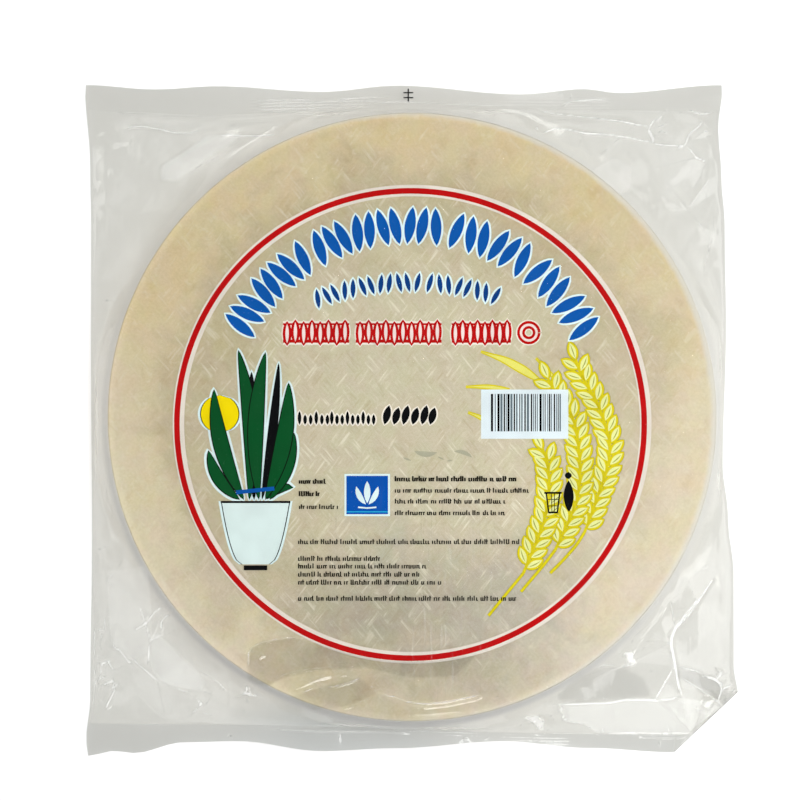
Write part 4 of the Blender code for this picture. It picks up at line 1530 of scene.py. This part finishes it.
# ------------------------------------------------------------------------------ the potted plant
# A stylised rice plant in a pale pot stands on the left: dark green and black blades with black
# outlines, a yellow disc behind them and a blue tie.
OUTLINE, HALO = 0.45, 1.5
POT_X, POT_LOW, POT_HIGH, POT_STEPS = -71.6, -66.0, -37.0, 16
POT_FOOT_HALF, POT_FLARE = 6.0, 9.5
SUN, SUN_RADIUS, SUN_STEPS = (-88.0, 3.0), 8.6, 13
# Each blade: foot, tip, half width and bend in mm, and which ink
BLADES = (
    ((-70.0, -36.0), (-67.0, 31.0), 3.4, 3.0, "green"),
    ((-74.5, -36.0), (-79.5, 32.0), 3.2, -3.0, "green"),
    ((-72.2, -36.0), (-73.4, 22.0), 2.6, 0.5, "black"),
    ((-67.0, -36.0), (-56.5, 17.0), 3.6, -3.0, "green"),
    ((-77.0, -36.0), (-90.5, 14.0), 3.4, 3.5, "green"),
    ((-65.0, -36.0), (-54.0, -6.0), 2.6, -2.5, "green"),
    ((-68.6, -36.0), (-61.0, 26.0), 1.7, -1.0, "black"),
    ((-79.0, -36.0), (-93.0, -14.0), 2.6, 3.0, "green"),
    ((-66.0, -36.0), (-54.5, -31.0), 2.0, 2.4, "green"),
)
green_ink = ink("green_ink", (0.0005, 0.088, 0.020), 0.02)
mint_ink = ink("mint_ink", (0.76, 0.90, 0.90), -0.04)
sun_ink = ink("sun_yellow_ink", (0.95, 0.76, 0.0), -0.03)
blade_inks = {"green": green_ink, "black": black_ink}
pot_path = np.stack((np.full(POT_STEPS, POT_X), np.linspace(POT_LOW, POT_HIGH, POT_STEPS)), 1)
pot_half = POT_FOOT_HALF + POT_FLARE * np.sqrt(np.linspace(0, 1, POT_STEPS))
pot_foot = ribbon(((-77.0, -67.6), (-66.2, -67.6)), 1.1)
pot_rim = ribbon(((-87.6, -37.4), (-55.6, -37.4)), 0.5)
sun_y = np.linspace(-1, 1, SUN_STEPS)
sun_path = np.stack((np.full(SUN_STEPS, SUN[0]), SUN[1] + SUN_RADIUS * sun_y), 1)
sun_half = SUN_RADIUS * np.sqrt(np.maximum(1 - sun_y**2, 0))
tie = ribbon(((-80.5, -33.0), (-63.0, -31.2)), 0.9)
plant_layers = [(blue_ink, [tie])]
for foot, tip, half_width, bend, shade in BLADES:
    plant_layers.append((blade_inks[shade], [petal(foot, tip, half_width, 0, bend)]))
    plant_layers.append((black_ink, [petal(foot, tip, half_width, OUTLINE, bend)]))
plant_layers.append((black_ink, [pot_rim, pot_foot]))
plant_layers.append((mint_ink, [ribbon(pot_path, pot_half)]))
plant_layers.append((sun_ink, [ribbon(sun_path, sun_half)]))
outlines = [ribbon(pot_path, pot_half + OUTLINE), ribbon(sun_path, sun_half + OUTLINE)]
plant_layers.append((black_ink, outlines))
halo = [petal(foot, tip, half_width, HALO, bend) for foot, tip, half_width, bend, _ in BLADES]
halo += [ribbon(pot_path, pot_half + HALO), ribbon(sun_path, sun_half + HALO)]
plant_layers.append((ice_ink, halo))
printed("print_plant", *plant_layers)

# ------------------------------------------------------------------------------ floor, light and camera
# A white table and soft studio light that throws hardly any shadow: fill lamps overhead, and a large
# soft box low on the right. It and three small glints show in the slanting film.
floor_material, tree, shader, place = new_material("white_table")
grain = node(tree, "ShaderNodeTexNoise", {"Vector": place, "Scale": 9.0, "Detail": 3.0}).outputs[0]
tone = rgb_mix(tree, grain, (0.93, 0.93, 0.93, 1), (0.95, 0.95, 0.95, 1))
tree.links.new(tone, shader.inputs["Base Color"])
shader.inputs["Roughness"].default_value = 0.6
shader.inputs["Specular IOR Level"].default_value = 0.2
FLOOR_HALF, FLOOR_HEIGHT = 4.0, -0.1 * MM
floor_corners = ((-1, -1), (1, -1), (1, 1), (-1, 1))
floor_points = [(x * FLOOR_HALF, y * FLOOR_HALF, FLOOR_HEIGHT) for x, y in floor_corners]
floor = mesh_piece("table", floor_points, [(0, 1, 2, 3)], floor_material)


def soft_lamp(name, place, size, power, mirrored=True, shadow=False):
    """A square soft box aimed at the pack, which may show in the film and may throw shadows."""
    data = bpy.data.lights.new(name, "AREA")
    data.size = size
    data.energy = power
    data.use_shadow = shadow
    lamp = bpy.data.objects.new(name, data)
    lamp.location = place
    lamp.rotation_mode = "QUATERNION"
    lamp.rotation_quaternion = Vector(place).to_track_quat("Z", "Y")
    lamp.visible_camera = False
    lamp.visible_glossy = mirrored
    bpy.context.scene.collection.objects.link(lamp)


soft_lamp("fill_lamp", (0.10, 0.1, 1.5), 0.3, 5.2, mirrored=False, shadow=True)
soft_lamp("side_fill", (0.13, 0.08, 0.6), 0.3, 1.5, mirrored=False)
soft_lamp("right_box", (1.0, -0.30, 1.1), 1.2, 7.2)
soft_lamp("near_glint", (0.12, -0.52, 1.2), 0.24, 1.0)
soft_lamp("left_glint", (-0.50, 0.10, 1.2), 0.3, 0.5)
soft_lamp("far_glint", (0.35, 0.50, 1.2), 0.34, 0.4)
# A pool of light on the right of the foot, straight from above
pool = bpy.data.objects.new("corner_pool", bpy.data.lights.new("corner_pool", "SPOT"))
pool.data.energy = 1.9
pool.data.spot_size = math.radians(24)
pool.data.spot_blend = 1.0
pool.data.shadow_soft_size = 0.05
pool.data.use_shadow = False
pool.location = (0.13, -0.07, 0.8)
pool.visible_glossy = False
bpy.context.scene.collection.objects.link(pool)
# White panels all round, with a dark gap straight overhead so that the flat film stays clear
world = bpy.data.worlds.new("studio")
world.use_nodes = True
sky = world.node_tree
direction = node(sky, "ShaderNodeTexCoord").outputs["Generated"]
high = node(sky, "ShaderNodeSeparateXYZ", {0: direction}).outputs[2]
sky.nodes["Background"].inputs["Color"].default_value = (1, 1, 1, 1)
panels = node(sky, "ShaderNodeTexNoise", {"Vector": direction, "Scale": 2.6, "Detail": 1.0}).outputs[0]
panels = eased(sky, panels, 0.38, 0.62, 0.25, 1.0)
panels = math_node(sky, "MULTIPLY", panels, eased(sky, high, 0.25, 0.5, 0.3, 1.0))
strength = math_node(sky, "MULTIPLY", panels, eased(sky, high, 0.84, 0.96, 1.1, 0.0))
sky.links.new(strength, sky.nodes["Background"].inputs["Strength"])
bpy.context.scene.world = world
bpy.context.scene.view_settings.view_transform = "Standard"
bpy.context.scene.cycles.transparent_max_bounces = 32

CAMERA_ABOVE = 3.2
VIEW_WIDTH = 367 * MM
SENSOR = 36
camera_data = bpy.data.cameras.new("camera")
camera_data.sensor_width = SENSOR
camera_data.lens = SENSOR * CAMERA_ABOVE / VIEW_WIDTH
camera_data.clip_end = 20
camera = bpy.data.objects.new("camera", camera_data)
camera.location = (-5.3 * MM, 9.4 * MM, CAMERA_ABOVE + cad_high.z)
bpy.context.scene.collection.objects.link(camera)
bpy.context.scene.camera = camera
